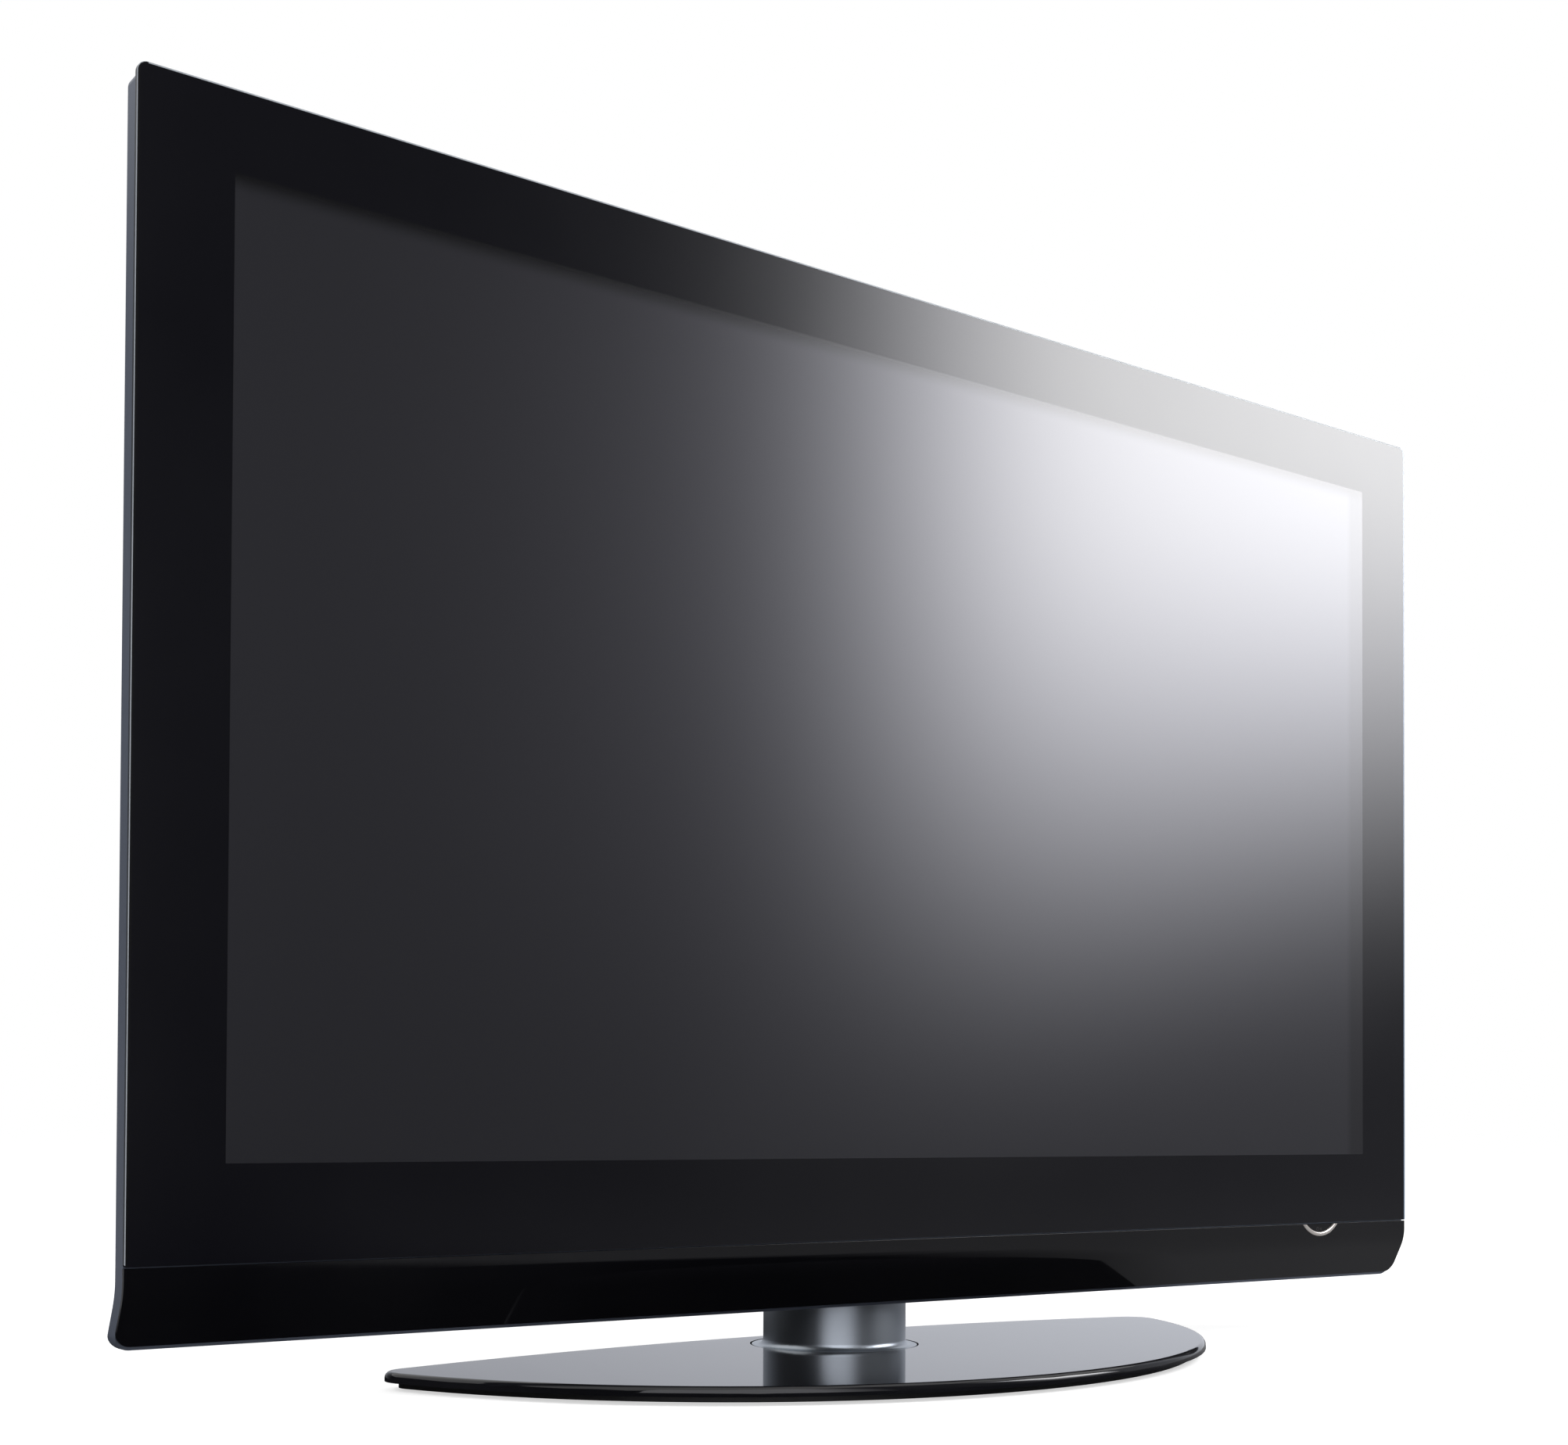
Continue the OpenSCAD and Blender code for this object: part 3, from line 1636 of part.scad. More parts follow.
video_sockets_at = [for (i = [0:video_count - 1]) video_x + i * video_pitch];
phono_sockets_at = [for (i = [0:phono_count - 1]) phono_x + i * phono_pitch];

// Mouth of a video socket with its two slanted lower corners, drawn in by inset
module video_outline(x, inset) {
    hw = video_w / 2 - inset;
    hh = video_h / 2 - inset;
    c = video_chamfer;
    translate([x, video_z])
        polygon([[c - hw, -hh], [hw - c, -hh], [hw, c - hh], [hw, hh], [-hw, hh], [-hw, c - hh]]);
}

// Mouth of the mains inlet with its two slanted upper corners, drawn in by inset
module inlet_outline(inset) {
    hw = inlet_w / 2 - inset;
    hh = inlet_h / 2 - inset;
    c = inlet_chamfer;
    translate([inlet_x, inlet_z])
        polygon([[-hw, -hh], [hw, -hh], [hw, hh - c], [hw - c, hh], [c - hw, hh], [-hw, hh - c]]);
}

module jack_plate() {
    color("dimgray")
        difference() {
            slab(
                main_x, jack_plate_w + 2 * jack_plate_lap, jack_plate_y, cover_face_y,
                jack_plate_z - jack_plate_h / 2 - jack_plate_lap,
                jack_plate_z + jack_plate_h / 2 + jack_plate_lap
            );
            for (x = video_sockets_at)
                along_y(jack_plate_y - 1, cover_face_y + 1)
                    video_outline(x, -socket_clear);
            for (x = phono_sockets_at)
                rod(x, phono_z, phono_r + socket_clear, jack_plate_y - 1, cover_face_y + 1);
            rod(aerial_x, jack_plate_z, aerial_r + socket_clear, jack_plate_y - 1, cover_face_y + 1);
        }
}

module video_sockets() {
    tongue_w = video_w - 2 * tongue_gap;
    mouth_y = cover_back_y;
    color("silver")
        for (x = video_sockets_at)
            union() {
                difference() {
                    along_y(main_back_y, mouth_y)
                        video_outline(x, 0);
                    along_y(mouth_y - video_depth, mouth_y + 1)
                        video_outline(x, video_wall);
                }
                slab(
                    x, tongue_w, mouth_y - video_depth - 1, mouth_y - tongue_gap,
                    video_z - tongue_h / 2, video_z + tongue_h / 2
                );
            }
}

module phono_sockets() {
    mouth_y = cover_back_y + phono_proud;
    body_w = phono_pitch - phono_gap;
    color("gold")
        for (x = phono_sockets_at)
            difference() {
                union() {
                    slab(x, body_w, main_back_y, jack_plate_y, phono_z - body_w / 2, phono_z + body_w / 2);
                    rod(x, phono_z, phono_r, jack_plate_y - 1, mouth_y);
                }
                rod(x, phono_z, phono_bore_r, jack_plate_y - phono_pin_l, mouth_y + 1);
            }
}

module aerial_socket() {
    mouth_y = cover_back_y + aerial_proud;
    body_w = aerial_body_w;
    color("silver")
        difference() {
            union() {
                slab(
                    aerial_x, body_w, main_back_y, jack_plate_y,
                    jack_plate_z - body_w / 2, jack_plate_z + body_w / 2
                );
                rod(aerial_x, jack_plate_z, aerial_r, jack_plate_y - 1, mouth_y);
            }
            rod(aerial_x, jack_plate_z, aerial_bore_r, jack_plate_y, mouth_y + 1);
        }
}

module mains_inlet() {
    mouth_y = cover_back_y + inlet_flange_t;
    floor_y = mouth_y - inlet_recess;
    color("black")
        union() {
            difference() {
                union() {
                    slab(
                        inlet_x, inlet_flange_w, cover_back_y, mouth_y,
                        inlet_z - inlet_flange_h / 2, inlet_z + inlet_flange_h / 2
                    );
                    along_y(cover_back_y - inlet_d, cover_back_y + 1)
                        inlet_outline(0);
                }
                along_y(floor_y, mouth_y + 1)
                    inlet_outline(inlet_wall);
            }
            for (p = [[-pin_x, -pin_z], [0, pin_z], [pin_x, -pin_z]])
                slab(
                    inlet_x + p[0], pin_w, floor_y - 1, floor_y + pin_l,
                    inlet_z + p[1] - pin_h / 2, inlet_z + p[1] + pin_h / 2
                );
        }
}

// Keys in the right-hand edge of the frame

function key_z(i) = key_mid_z + (i - (key_count - 1) / 2) * key_pitch;

// A rounded key outline drawn out along X
module key_bar(i, x, length, grow) {
    hw = key_w / 2 + grow;
    hh = key_h / 2 + grow;
    r = key_corner_r;
    translate([x, key_mid_y, key_z(i)])
        rotate([90, 0, 90])
            linear_extrude(length)
                polygon(concat(
                    arc([hw - r, r - hh], r, -90, 0, edge_steps),
                    arc([hw - r, hh - r], r, 0, 90, edge_steps),
                    arc([r - hw, hh - r], r, 90, 180, edge_steps),
                    arc([r - hw, r - hh], r, 180, 270, edge_steps)
                ));
}

module key_opening(i, x, length) {
    key_bar(i, x, length, key_clear);
}

module key(i) {
    color("gray")
        union() {
            key_bar(i, key_flange_x + key_flange_t / 2, key_face_x - key_flange_x - key_flange_t / 2, 0);
            key_bar(i, key_flange_x, key_flange_t, key_flange_lip);
            translate([key_stem_x, key_mid_y, key_z(i)])
                rotate([0, 90, 0])
                    cylinder(r = key_stem_r, h = key_stem_l + key_flange_t / 2);
        }
}

module key_strip(x, thickness) {
    translate([x, key_mid_y - key_strip_w / 2, key_mid_z - key_strip_h / 2])
        cube([thickness, key_strip_w, key_strip_h]);
}

module key_guide() {
    post_l = key_guide_x - key_board_x - board_t;
    color("darkslategray")
        union() {
            difference() {
                key_strip(key_guide_x, key_guide_t);
                for (i = [0:key_count - 1])
                    key_opening(i, key_guide_x - 1, key_guide_t + 2);
            }
            for (k = [-1, 1])
                translate([
                    key_guide_x - post_l,
                    key_mid_y - key_strip_w / 2,
                    key_mid_z + k * (key_strip_h - key_post_h) / 2 - key_post_h / 2
                ])
                    cube([post_l + 0.5, key_strip_w, key_post_h]);
        }
}

module key_board() {
    color("darkgreen")
        union() {
            key_strip(key_board_x, board_t);
            for (i = [0:key_count - 1])
                translate([key_board_x + board_t - 0.5, key_mid_y - switch_w / 2, key_z(i) - switch_w / 2])
                    cube([switch_d + 0.5, switch_w, switch_w]);
        }
}

module key_power() { key(0); }
module key_input() { key(1); }
module key_menu() { key(2); }
module key_volume_down() { key(3); }
module key_volume_up() { key(4); }
module key_channel_down() { key(5); }
module key_channel_up() { key(6); }

base_top();
base_plate();
base_feet();
base_screws();
swivel_race();
pivot_pin();
glide_ring();
disc_spring();
pivot_nut();
turntable();
neck_sleeve();
neck_column();
column_screws();
stand_bracket();
bracket_bolts();
neck_cover();
front_glass();
glass_mask();
glass_tape();
front_frame();
chin_panel();
eye_crescent();
eye_window();
sensor_board();
contact_gasket();
cell_front_plate();
cell_rear_plate();
heat_sheet();
chassis_plate();
chassis_screws();
drive_flexes();
scan_board();
sustain_board();
address_boards();
logic_board();
power_board();
main_board();
support_rails();
wall_mount_posts();
crossbar();
speaker_left();
speaker_right();
speaker_drivers();
rear_cover();
cover_screws();
jack_plate();
video_sockets();
phono_sockets();
aerial_socket();
mains_inlet();
key_guide();
key_board();
key_power();
key_input();
key_menu();
key_volume_down();
key_volume_up();
key_channel_down();
key_channel_up();
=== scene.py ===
"""A flat screen television on its swivel stand, dressed for the photograph's view.

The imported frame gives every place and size. This script adds the camera, a plain studio, a node
material for each of the record's slots, and the few pieces that need finer meshes than the frame has.
"""
import json
import math

import bpy
from mathutils import Matrix, Vector


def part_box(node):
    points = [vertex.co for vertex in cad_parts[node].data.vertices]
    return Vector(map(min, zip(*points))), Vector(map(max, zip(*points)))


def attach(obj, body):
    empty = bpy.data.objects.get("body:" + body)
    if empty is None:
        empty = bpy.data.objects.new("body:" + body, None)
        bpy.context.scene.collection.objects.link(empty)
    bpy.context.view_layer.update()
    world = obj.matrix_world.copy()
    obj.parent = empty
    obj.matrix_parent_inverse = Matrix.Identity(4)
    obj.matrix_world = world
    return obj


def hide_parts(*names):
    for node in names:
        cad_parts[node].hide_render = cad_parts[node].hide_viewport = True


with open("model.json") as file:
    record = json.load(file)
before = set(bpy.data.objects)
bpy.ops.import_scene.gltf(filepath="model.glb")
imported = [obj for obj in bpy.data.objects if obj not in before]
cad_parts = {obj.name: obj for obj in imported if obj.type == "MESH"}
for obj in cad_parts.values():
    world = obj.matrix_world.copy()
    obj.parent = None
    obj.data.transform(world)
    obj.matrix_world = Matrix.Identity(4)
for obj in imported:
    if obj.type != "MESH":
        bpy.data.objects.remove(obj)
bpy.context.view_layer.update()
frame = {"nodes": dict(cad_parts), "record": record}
NODES = frame["nodes"]
SLOT_OF = {part["node"]: part["material_slot"] for part in frame["record"]["subparts"]}
MM = 0.001

# The photograph's camera: focal length and principal point in pixels, place in metres, angles in degrees
PHOTO_W = 2005
PHOTO_H = 1848
FOCAL_PX = 2700.5
AXIS_Y_PX = 1382.6
SENSOR_MM = 36
CAMERA_PLACE = Vector((-1.0577, -1.2703, 0.1923))
CAMERA_YAW = 36.576
CAMERA_PITCH = 1.126
CAMERA_ROLL = 0.265


def make_camera():
    """The camera at the photograph's viewing angle. The photograph is cropped, so the lens is shifted."""
    yaw = math.radians(CAMERA_YAW)
    pitch = math.radians(CAMERA_PITCH)
    roll = math.radians(CAMERA_ROLL)
    ahead = Vector((math.sin(yaw) * math.cos(pitch), math.cos(yaw) * math.cos(pitch), math.sin(pitch)))
    level = Vector((math.cos(yaw), -math.sin(yaw), 0))
    upright = level.cross(ahead)
    right = level * math.cos(roll) + upright * math.sin(roll)
    up = upright * math.cos(roll) - level * math.sin(roll)
    lens = bpy.data.cameras.new("camera")
    lens.sensor_width = SENSOR_MM
    lens.lens = FOCAL_PX / PHOTO_W * SENSOR_MM
    lens.shift_y = (AXIS_Y_PX - PHOTO_H / 2) / PHOTO_W
    camera = bpy.data.objects.new("camera", lens)
    turn = Matrix((right, up, -ahead)).transposed().to_4x4()
    camera.matrix_world = Matrix.Translation(CAMERA_PLACE) @ turn
    bpy.context.scene.collection.objects.link(camera)
    bpy.context.scene.camera = camera


make_camera()

# Node helpers. Most values of a noise texture lie in NOISE_SPAN
NOISE_SPAN = (0.3, 0.7)
NOISE_DETAIL = 3.0
GRAIN_DETAIL = 2.0
WHOLE = (0.0, 1.0)
NEW_STOP = 0.5
UNTURNED = (0, 0, 0)
UNSTRETCHED = (1, 1, 1)


class Nodes:
    """A material's node tree, with short calls to add and link nodes."""

    def __init__(self, tree):
        self.tree = tree

    def add(self, kind, **settings):
        """A new node. Settings whose names are sockets set those sockets, and the rest set properties."""
        node = self.tree.nodes.new(kind)
        for key, value in settings.items():
            name = key.replace("_", " ").title()
            if name in node.inputs:
                node.inputs[name].default_value = value
            else:
                setattr(node, key, value)
        return node

    def link(self, source, target):
        self.tree.links.new(source, target)

    def place(self, stretch=UNSTRETCHED, turn=UNTURNED):
        """Coordinates of the object in metres, turned and stretched along each axis."""
        where = self.add("ShaderNodeTexCoord").outputs["Object"]
        if stretch == UNSTRETCHED and turn == UNTURNED:
            return where
        mapping = self.add("ShaderNodeMapping", scale=stretch, rotation=turn)
        self.link(where, mapping.inputs["Vector"])
        return mapping.outputs["Vector"]

    def axis(self, name):
        """One coordinate of the object, in metres."""
        axes = self.add("ShaderNodeSeparateXYZ")
        self.link(self.place(), axes.inputs["Vector"])
        return axes.outputs[name]

    def distance(self, where, point):
        """Distance from a point, in metres."""
        node = self.add("ShaderNodeVectorMath", operation="DISTANCE")
        self.link(where, node.inputs[0])
        node.inputs[1].default_value = point
        return node.outputs["Value"]

    def noise(self, where, scale, detail=NOISE_DETAIL):
        noise = self.add("ShaderNodeTexNoise", scale=scale, detail=detail)
        self.link(where, noise.inputs["Vector"])
        return noise.outputs["Fac"]

    def span(self, value, low, high, start=NOISE_SPAN[0], end=NOISE_SPAN[1], clamp=True):
        """A value between start and end, spread from low to high."""
        span = self.add("ShaderNodeMapRange", clamp=clamp)
        for name, number in zip(("From Min", "From Max", "To Min", "To Max"), (start, end, low, high)):
            span.inputs[name].default_value = number
        self.link(value, span.inputs["Value"])
        return span.outputs["Result"]

    def eased(self, value, start, end):
        """0 before start and 1 after end, with an easy change between them."""
        step = self.add("ShaderNodeMapRange", interpolation_type="SMOOTHERSTEP")
        step.inputs["From Min"].default_value = start
        step.inputs["From Max"].default_value = end
        self.link(value, step.inputs["Value"])
        return step.outputs["Result"]

    def ramp(self, value, *stops):
        """A colour ramp through (place, colour) stops."""
        ramp = self.add("ShaderNodeValToRGB")
        line = ramp.color_ramp.elements
        while len(line) < len(stops):
            line.new(NEW_STOP)
        for element, (place, colour) in zip(line, stops):
            element.position = place
            element.color = (*colour, 1)
        self.link(value, ramp.inputs["Fac"])
        return ramp.outputs["Color"]

    def math(self, operation, first, second=None):
        node = self.add("ShaderNodeMath", operation=operation)
        for socket, value in zip(node.inputs, (first, second)):
            if isinstance(value, (int, float)):
                socket.default_value = value
            elif value is not None:
                self.link(value, socket)
        return node.outputs["Value"]

    def product(self, *values):
        """All the values multiplied together."""
        total = values[0]
        for value in values[1:]:
            total = self.math("MULTIPLY", total, value)
        return total

    def bump(self, height, depth):
        """The normal of a surface that rises by depth metres from height 0 to height 1."""
        bump = self.add("ShaderNodeBump", strength=1.0, distance=depth)
        self.link(height, bump.inputs["Height"])
        return bump.outputs["Normal"]


def new_material(name, **sockets):
    """A Principled material with constant values on some sockets: its nodes and its shader."""
    material = bpy.data.materials.new(name)
    material.use_nodes = True
    nodes = Nodes(material.node_tree)
    shader = material.node_tree.nodes["Principled BSDF"]
    for socket, value in sockets.items():
        shader.inputs[socket.replace("_", " ")].default_value = value
    return material, nodes, shader


# Kinds of material


def grained(slot, dark, light, rough, patch=6, grain=900, depth=0.03 * MM, stretch=UNSTRETCHED, **sockets):
    """A surface whose colour and gloss vary a little in patches, with a fine grain in relief.

    dark and light bound its colour and rough its roughness. patch and grain are features per metre,
    depth is the grain's height in metres, and stretch draws both out along an axis, as brushing does.
    """
    material, nodes, shader = new_material(slot, **sockets)
    where = nodes.place(stretch)
    patches = nodes.noise(where, patch)
    grains = nodes.noise(where, grain, GRAIN_DETAIL)
    nodes.link(nodes.ramp(patches, *zip(NOISE_SPAN, (dark, light))), shader.inputs["Base Color"])
    nodes.link(nodes.span(grains, *rough), shader.inputs["Roughness"])
    if depth:
        nodes.link(nodes.bump(grains, depth), shader.inputs["Normal"])
    return material


# A board's tracks in metres, its pads to the metre and each pad's share of its cell, and its roughness
UPRIGHT = (math.radians(90), 0, 0)
TRACK_PITCH = 2.4 * MM
TRACK_LENGTH = 17 * MM
TRACK_W = 0.5 * MM
TRACK_SOFT = 0.2
TRACK_RISE = 0.03 * MM
PADS = 260
PAD_SHARE = (0.16, 0.2)
TIN = (0.55, 0.55, 0.53)
BOARD_ROUGH = (0.42, 0.26)
# Places of the colour sockets on a Mix node
MIX_FIRST = 6
MIX_SECOND = 7
MIX_RESULT = 2


def printed_board(slot, bare, track):
    """A printed board: solder mask, the tracks that show through it, and tinned pads."""
    material, nodes, shader = new_material(slot)
    where = nodes.place(turn=UPRIGHT)
    tracks = nodes.add(
        "ShaderNodeTexBrick", scale=1.0, brick_width=TRACK_LENGTH, row_height=TRACK_PITCH,
        mortar_size=TRACK_W, mortar_smooth=TRACK_SOFT)
    for socket, colour in (("Color1", bare), ("Color2", bare), ("Mortar", track)):
        tracks.inputs[socket].default_value = (*colour, 1)
    nodes.link(where, tracks.inputs["Vector"])
    dots = nodes.add("ShaderNodeTexVoronoi", scale=PADS)
    nodes.link(where, dots.inputs["Vector"])
    pads = nodes.span(dots.outputs["Distance"], 1.0, 0.0, *PAD_SHARE)
    mix = nodes.add("ShaderNodeMix", data_type="RGBA")
    nodes.link(pads, mix.inputs["Factor"])
    nodes.link(tracks.outputs["Color"], mix.inputs[MIX_FIRST])
    mix.inputs[MIX_SECOND].default_value = (*TIN, 1)
    nodes.link(mix.outputs[MIX_RESULT], shader.inputs["Base Color"])
    nodes.link(pads, shader.inputs["Metallic"])
    nodes.link(nodes.span(pads, *BOARD_ROUGH, *WHOLE), shader.inputs["Roughness"])
    nodes.link(nodes.bump(tracks.outputs["Fac"], TRACK_RISE), shader.inputs["Normal"])
    return material


# Heights of the weave between its gaps and its tops
WEAVE_SPAN = (0.5, 1.0)


def woven(slot, dark, light, rough, scale, depth, **sockets):
    """A cloth of threads that cross each other. The scale is the wave texture's: 75 makes them 4 mm apart."""
    material, nodes, shader = new_material(slot, **sockets)
    where = nodes.place()
    waves = [nodes.add("ShaderNodeTexWave", scale=scale, bands_direction=way) for way in "XZ"]
    for wave in waves:
        nodes.link(where, wave.inputs["Vector"])
    weave = nodes.math("MAXIMUM", *(wave.outputs["Fac"] for wave in waves))
    nodes.link(nodes.ramp(weave, *zip(WEAVE_SPAN, (dark, light))), shader.inputs["Base Color"])
    nodes.link(nodes.span(weave, *rough, *WEAVE_SPAN), shader.inputs["Roughness"])
    nodes.link(nodes.bump(weave, depth), shader.inputs["Normal"])
    return material


# Each lens behind the status window: x, z and radius in metres
LENS_AT = ((0.4910, 0.0970, 0.0015), (0.4955, 0.0970, 0.0008))
LENS_GREY = (0.035, 0.032, 0.033)
LENS_EDGE = 0.6 * MM
WINDOW_PATCH = 40


def smoked(slot, dark, rough):
    """A smoked window with the faint round shapes of the sensor's and the lamp's lenses behind it."""
    material, nodes, shader = new_material(slot)
    where = nodes.place((1, 0, 1))
    rings = []
    for x, z, radius in LENS_AT:
        off = nodes.math("ABSOLUTE", nodes.math("SUBTRACT", nodes.distance(where, (x, 0, z)), radius))
        rings.append(nodes.span(off, 1.0, 0.0, 0.0, LENS_EDGE))
    shapes = nodes.math("MAXIMUM", *rings)
    nodes.link(nodes.ramp(shapes, *zip(WHOLE, (dark, LENS_GREY))), shader.inputs["Base Color"])
    nodes.link(nodes.span(nodes.noise(where, WINDOW_PATCH), *rough), shader.inputs["Roughness"])
    return material


# The picture, how even its panel is, and the painted shade along its right and top edges: the insets at
# which the painted shade is full and at which it has ended, and the light that is left in it on the right
PICTURE_W = 1106 * MM
PICTURE_H = 622 * MM
LOW_BORDER = 62.5 * MM
PICTURE_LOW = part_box("front_glass")[0].z + LOW_BORDER
PICTURE_TOP = PICTURE_LOW + PICTURE_H
PICTURE_PATCH = 3
PICTURE_EVEN = (0.94, 1.0)
SHADE_RIGHT = (14 * MM, 25 * MM)
SHADE_TOP = (-3 * MM, 15 * MM)
SHADE_LEFT_OVER = 0.5
# How far the clear rim turns from the eye where it is dark and where its painted light is full
RIM_SLANT = (0.17, 0.34)
RIM_GRAIN = 400


def picture_glass(slot, shaded, lit, rough, **sockets):
    """The coated glass over the picture. Painted shade darkens its colour along the right and top edges,
    where the border would shade the panel.
    """
    material, nodes, shader = new_material(slot, **sockets)
    patches = nodes.span(nodes.noise(nodes.place(), PICTURE_PATCH), *PICTURE_EVEN, *WHOLE)
    # Painted shade: the colour darkens towards the picture's right and top edges
    past = nodes.eased(nodes.axis("X"), *(PICTURE_W / 2 - inset for inset in SHADE_RIGHT))
    right = nodes.span(past, SHADE_LEFT_OVER, 1.0, *WHOLE)
    top = nodes.eased(nodes.axis("Z"), *(PICTURE_TOP - inset for inset in SHADE_TOP))
    light = nodes.product(right, top, patches)
    nodes.link(nodes.ramp(light, *zip(WHOLE, (shaded, lit))), shader.inputs["Base Color"])
    nodes.link(nodes.span(patches, *rough, *PICTURE_EVEN), shader.inputs["Roughness"])
    return material


def clear_rim(slot, dark, light, rough):
    """The clear rim of the glass: dark from in front, with painted light in its colour where it is seen at a
    slant.
    """
    material, nodes, shader = new_material(slot)
    slant = nodes.add("ShaderNodeLayerWeight").outputs["Facing"]
    nodes.link(nodes.ramp(slant, *zip(RIM_SLANT, (dark, light))), shader.inputs["Base Color"])
    nodes.link(nodes.span(nodes.noise(nodes.place(), RIM_GRAIN), *rough), shader.inputs["Roughness"])
    return material


# Looks of the grained materials, in the order of grained's arguments: dark, light and rough, then the rest
GRAINED = {
    "gloss_black_base": (
        (0.006, 0.006, 0.008), (0.010, 0.010, 0.012), (0.03, 0.07), dict(grain=60, depth=0.004 * MM)),
    "black_steel": ((0.010, 0.010, 0.011), (0.018, 0.018, 0.019), (0.28, 0.4), {}),
    "foot_rubber": ((0.018, 0.018, 0.018), (0.03, 0.03, 0.03), (0.75, 0.95), dict(grain=1400)),
    "zinc_steel": (
        (0.50, 0.50, 0.52), (0.62, 0.62, 0.62), (0.25, 0.42), dict(stretch=(1, 1, 8), Metallic=1.0)),
    "acetal": ((0.72, 0.70, 0.62), (0.80, 0.78, 0.70), (0.35, 0.5), {}),
    "satin_neck": (
        (0.39, 0.425, 0.465), (0.43, 0.465, 0.505), (0.34, 0.38),
        dict(grain=700, depth=0.0008 * MM, stretch=(1, 1, 6), Metallic=1.0)),
    "rear_plastic": ((0.024, 0.024, 0.026), (0.034, 0.034, 0.036), (0.45, 0.62), {}),
    "mask_ink": ((0.003, 0.003, 0.004), (0.006, 0.006, 0.008), (0.25, 0.35), {}),
    "foam_tape": ((0.03, 0.03, 0.03), (0.05, 0.05, 0.05), (0.8, 0.95), dict(grain=2500)),
    "frame_grey": (
        (0.120, 0.139, 0.184), (0.134, 0.153, 0.200), (0.36, 0.42),
        dict(grain=2600, depth=0.004 * MM, Metallic=0.5)),
    "chin_gloss": (
        (0.002, 0.002, 0.003), (0.004, 0.004, 0.005), (0.04, 0.08), dict(grain=50, depth=0.003 * MM)),
    "crescent_chrome": (
        (0.58, 0.54, 0.51), (0.66, 0.62, 0.59), (0.12, 0.20), dict(depth=0.002 * MM, Metallic=0.5)),
    "cell_glass": (
        (0.04, 0.04, 0.045), (0.05, 0.05, 0.055), (0.27, 0.29), dict(patch=3, grain=8, depth=0)),
    "heat_sheet_grey": ((0.42, 0.42, 0.44), (0.5, 0.5, 0.52), (0.7, 0.85), {}),
    "chassis_aluminium": (
        (0.68, 0.68, 0.69), (0.75, 0.75, 0.76), (0.3, 0.45), dict(stretch=(0.1, 1, 1), Metallic=1.0)),
    "flex_amber": ((0.36, 0.18, 0.03), (0.5, 0.28, 0.06), (0.25, 0.4), dict(patch=80)),
    "driver_grey": ((0.13, 0.13, 0.13), (0.2, 0.2, 0.2), (0.4, 0.55), {}),
    "cover_black": (
        (0.028, 0.028, 0.030), (0.036, 0.036, 0.038), (0.5, 0.62), dict(grain=1300, depth=0.05 * MM)),
    "socket_steel": (
        (0.60, 0.60, 0.62), (0.70, 0.70, 0.72), (0.18, 0.3), dict(grain=2000, Metallic=1.0)),
    "socket_brass": (
        (0.66, 0.50, 0.22), (0.75, 0.60, 0.30), (0.2, 0.32), dict(grain=2000, Metallic=1.0)),
    "key_grey": ((0.10, 0.11, 0.13), (0.12, 0.13, 0.15), (0.38, 0.48), dict(grain=2600)),
    "glass_border": (
        (0.0020, 0.0020, 0.0042), (0.0035, 0.0035, 0.0058), (0.16, 0.18), dict(grain=8, depth=0)),
    "glass_back": (
        (0.002, 0.002, 0.003), (0.003, 0.003, 0.004), (0.8, 0.9),
        dict(grain=8, depth=0, Specular_IOR_Level=0)),
    # The chamfer's pale blue-grey is a painted highlight along the glass's front edge
    "glass_chamfer": (
        (0.38, 0.41, 0.45), (0.44, 0.47, 0.51), (0.26, 0.34),
        dict(grain=400, depth=0.002 * MM, Specular_IOR_Level=0.25)),
    "glass_edge": (
        (0.020, 0.024, 0.030), (0.026, 0.030, 0.038), (0.3, 0.4), dict(grain=400, depth=0.002 * MM)),
}
MATERIALS = {slot: grained(slot, *look, **rest) for slot, (*look, rest) in GRAINED.items()}

# The other materials: how each is made, its slot and its look
OTHERS = (
    (smoked, "smoked_window", dict(dark=(0.004, 0.004, 0.005), rough=(0.08, 0.14))),
    (printed_board, "circuit_board", dict(bare=(0.02, 0.10, 0.04), track=(0.045, 0.17, 0.07))),
    (printed_board, "power_laminate", dict(bare=(0.36, 0.25, 0.14), track=(0.27, 0.18, 0.09))),
    (woven, "conductive_fabric", dict(
        dark=(0.30, 0.30, 0.31), light=(0.5, 0.5, 0.5), rough=(0.55, 0.4), scale=75, depth=0.08 * MM,
        Metallic=0.8)),
    # The front glass's shaded colour is painted shade along the picture's right and top edges
    (picture_glass, "front_glass", dict(
        shaded=(0.003, 0.003, 0.004), lit=(0.029, 0.029, 0.035), rough=(0.27, 0.29), Metallic=0.5,
        Specular_IOR_Level=0.14, Coat_Weight=1.0, Coat_Roughness=0.17)),
    # The rim's light colour is painted light, shown where the rim is seen at a slant
    (clear_rim, "glass_rim", dict(
        dark=(0.004, 0.004, 0.005), light=(0.19, 0.25, 0.34), rough=(0.17, 0.19))),
)
for make, slot, look in OTHERS:
    MATERIALS[slot] = make(slot, **look)

# Modifiers that shade a mesh smooth across its fine facets and keep its true edges
WELD_GAP = 0.002 * MM
SHARP_ANGLE = math.radians(32)
NORMAL_WEIGHT = 100
ROUND_STEPS = 3
ROUND_ANGLE = math.radians(50)
ROUND_OFF = {"key_grey": 0.3 * MM, "chin_gloss": 0.5 * MM}


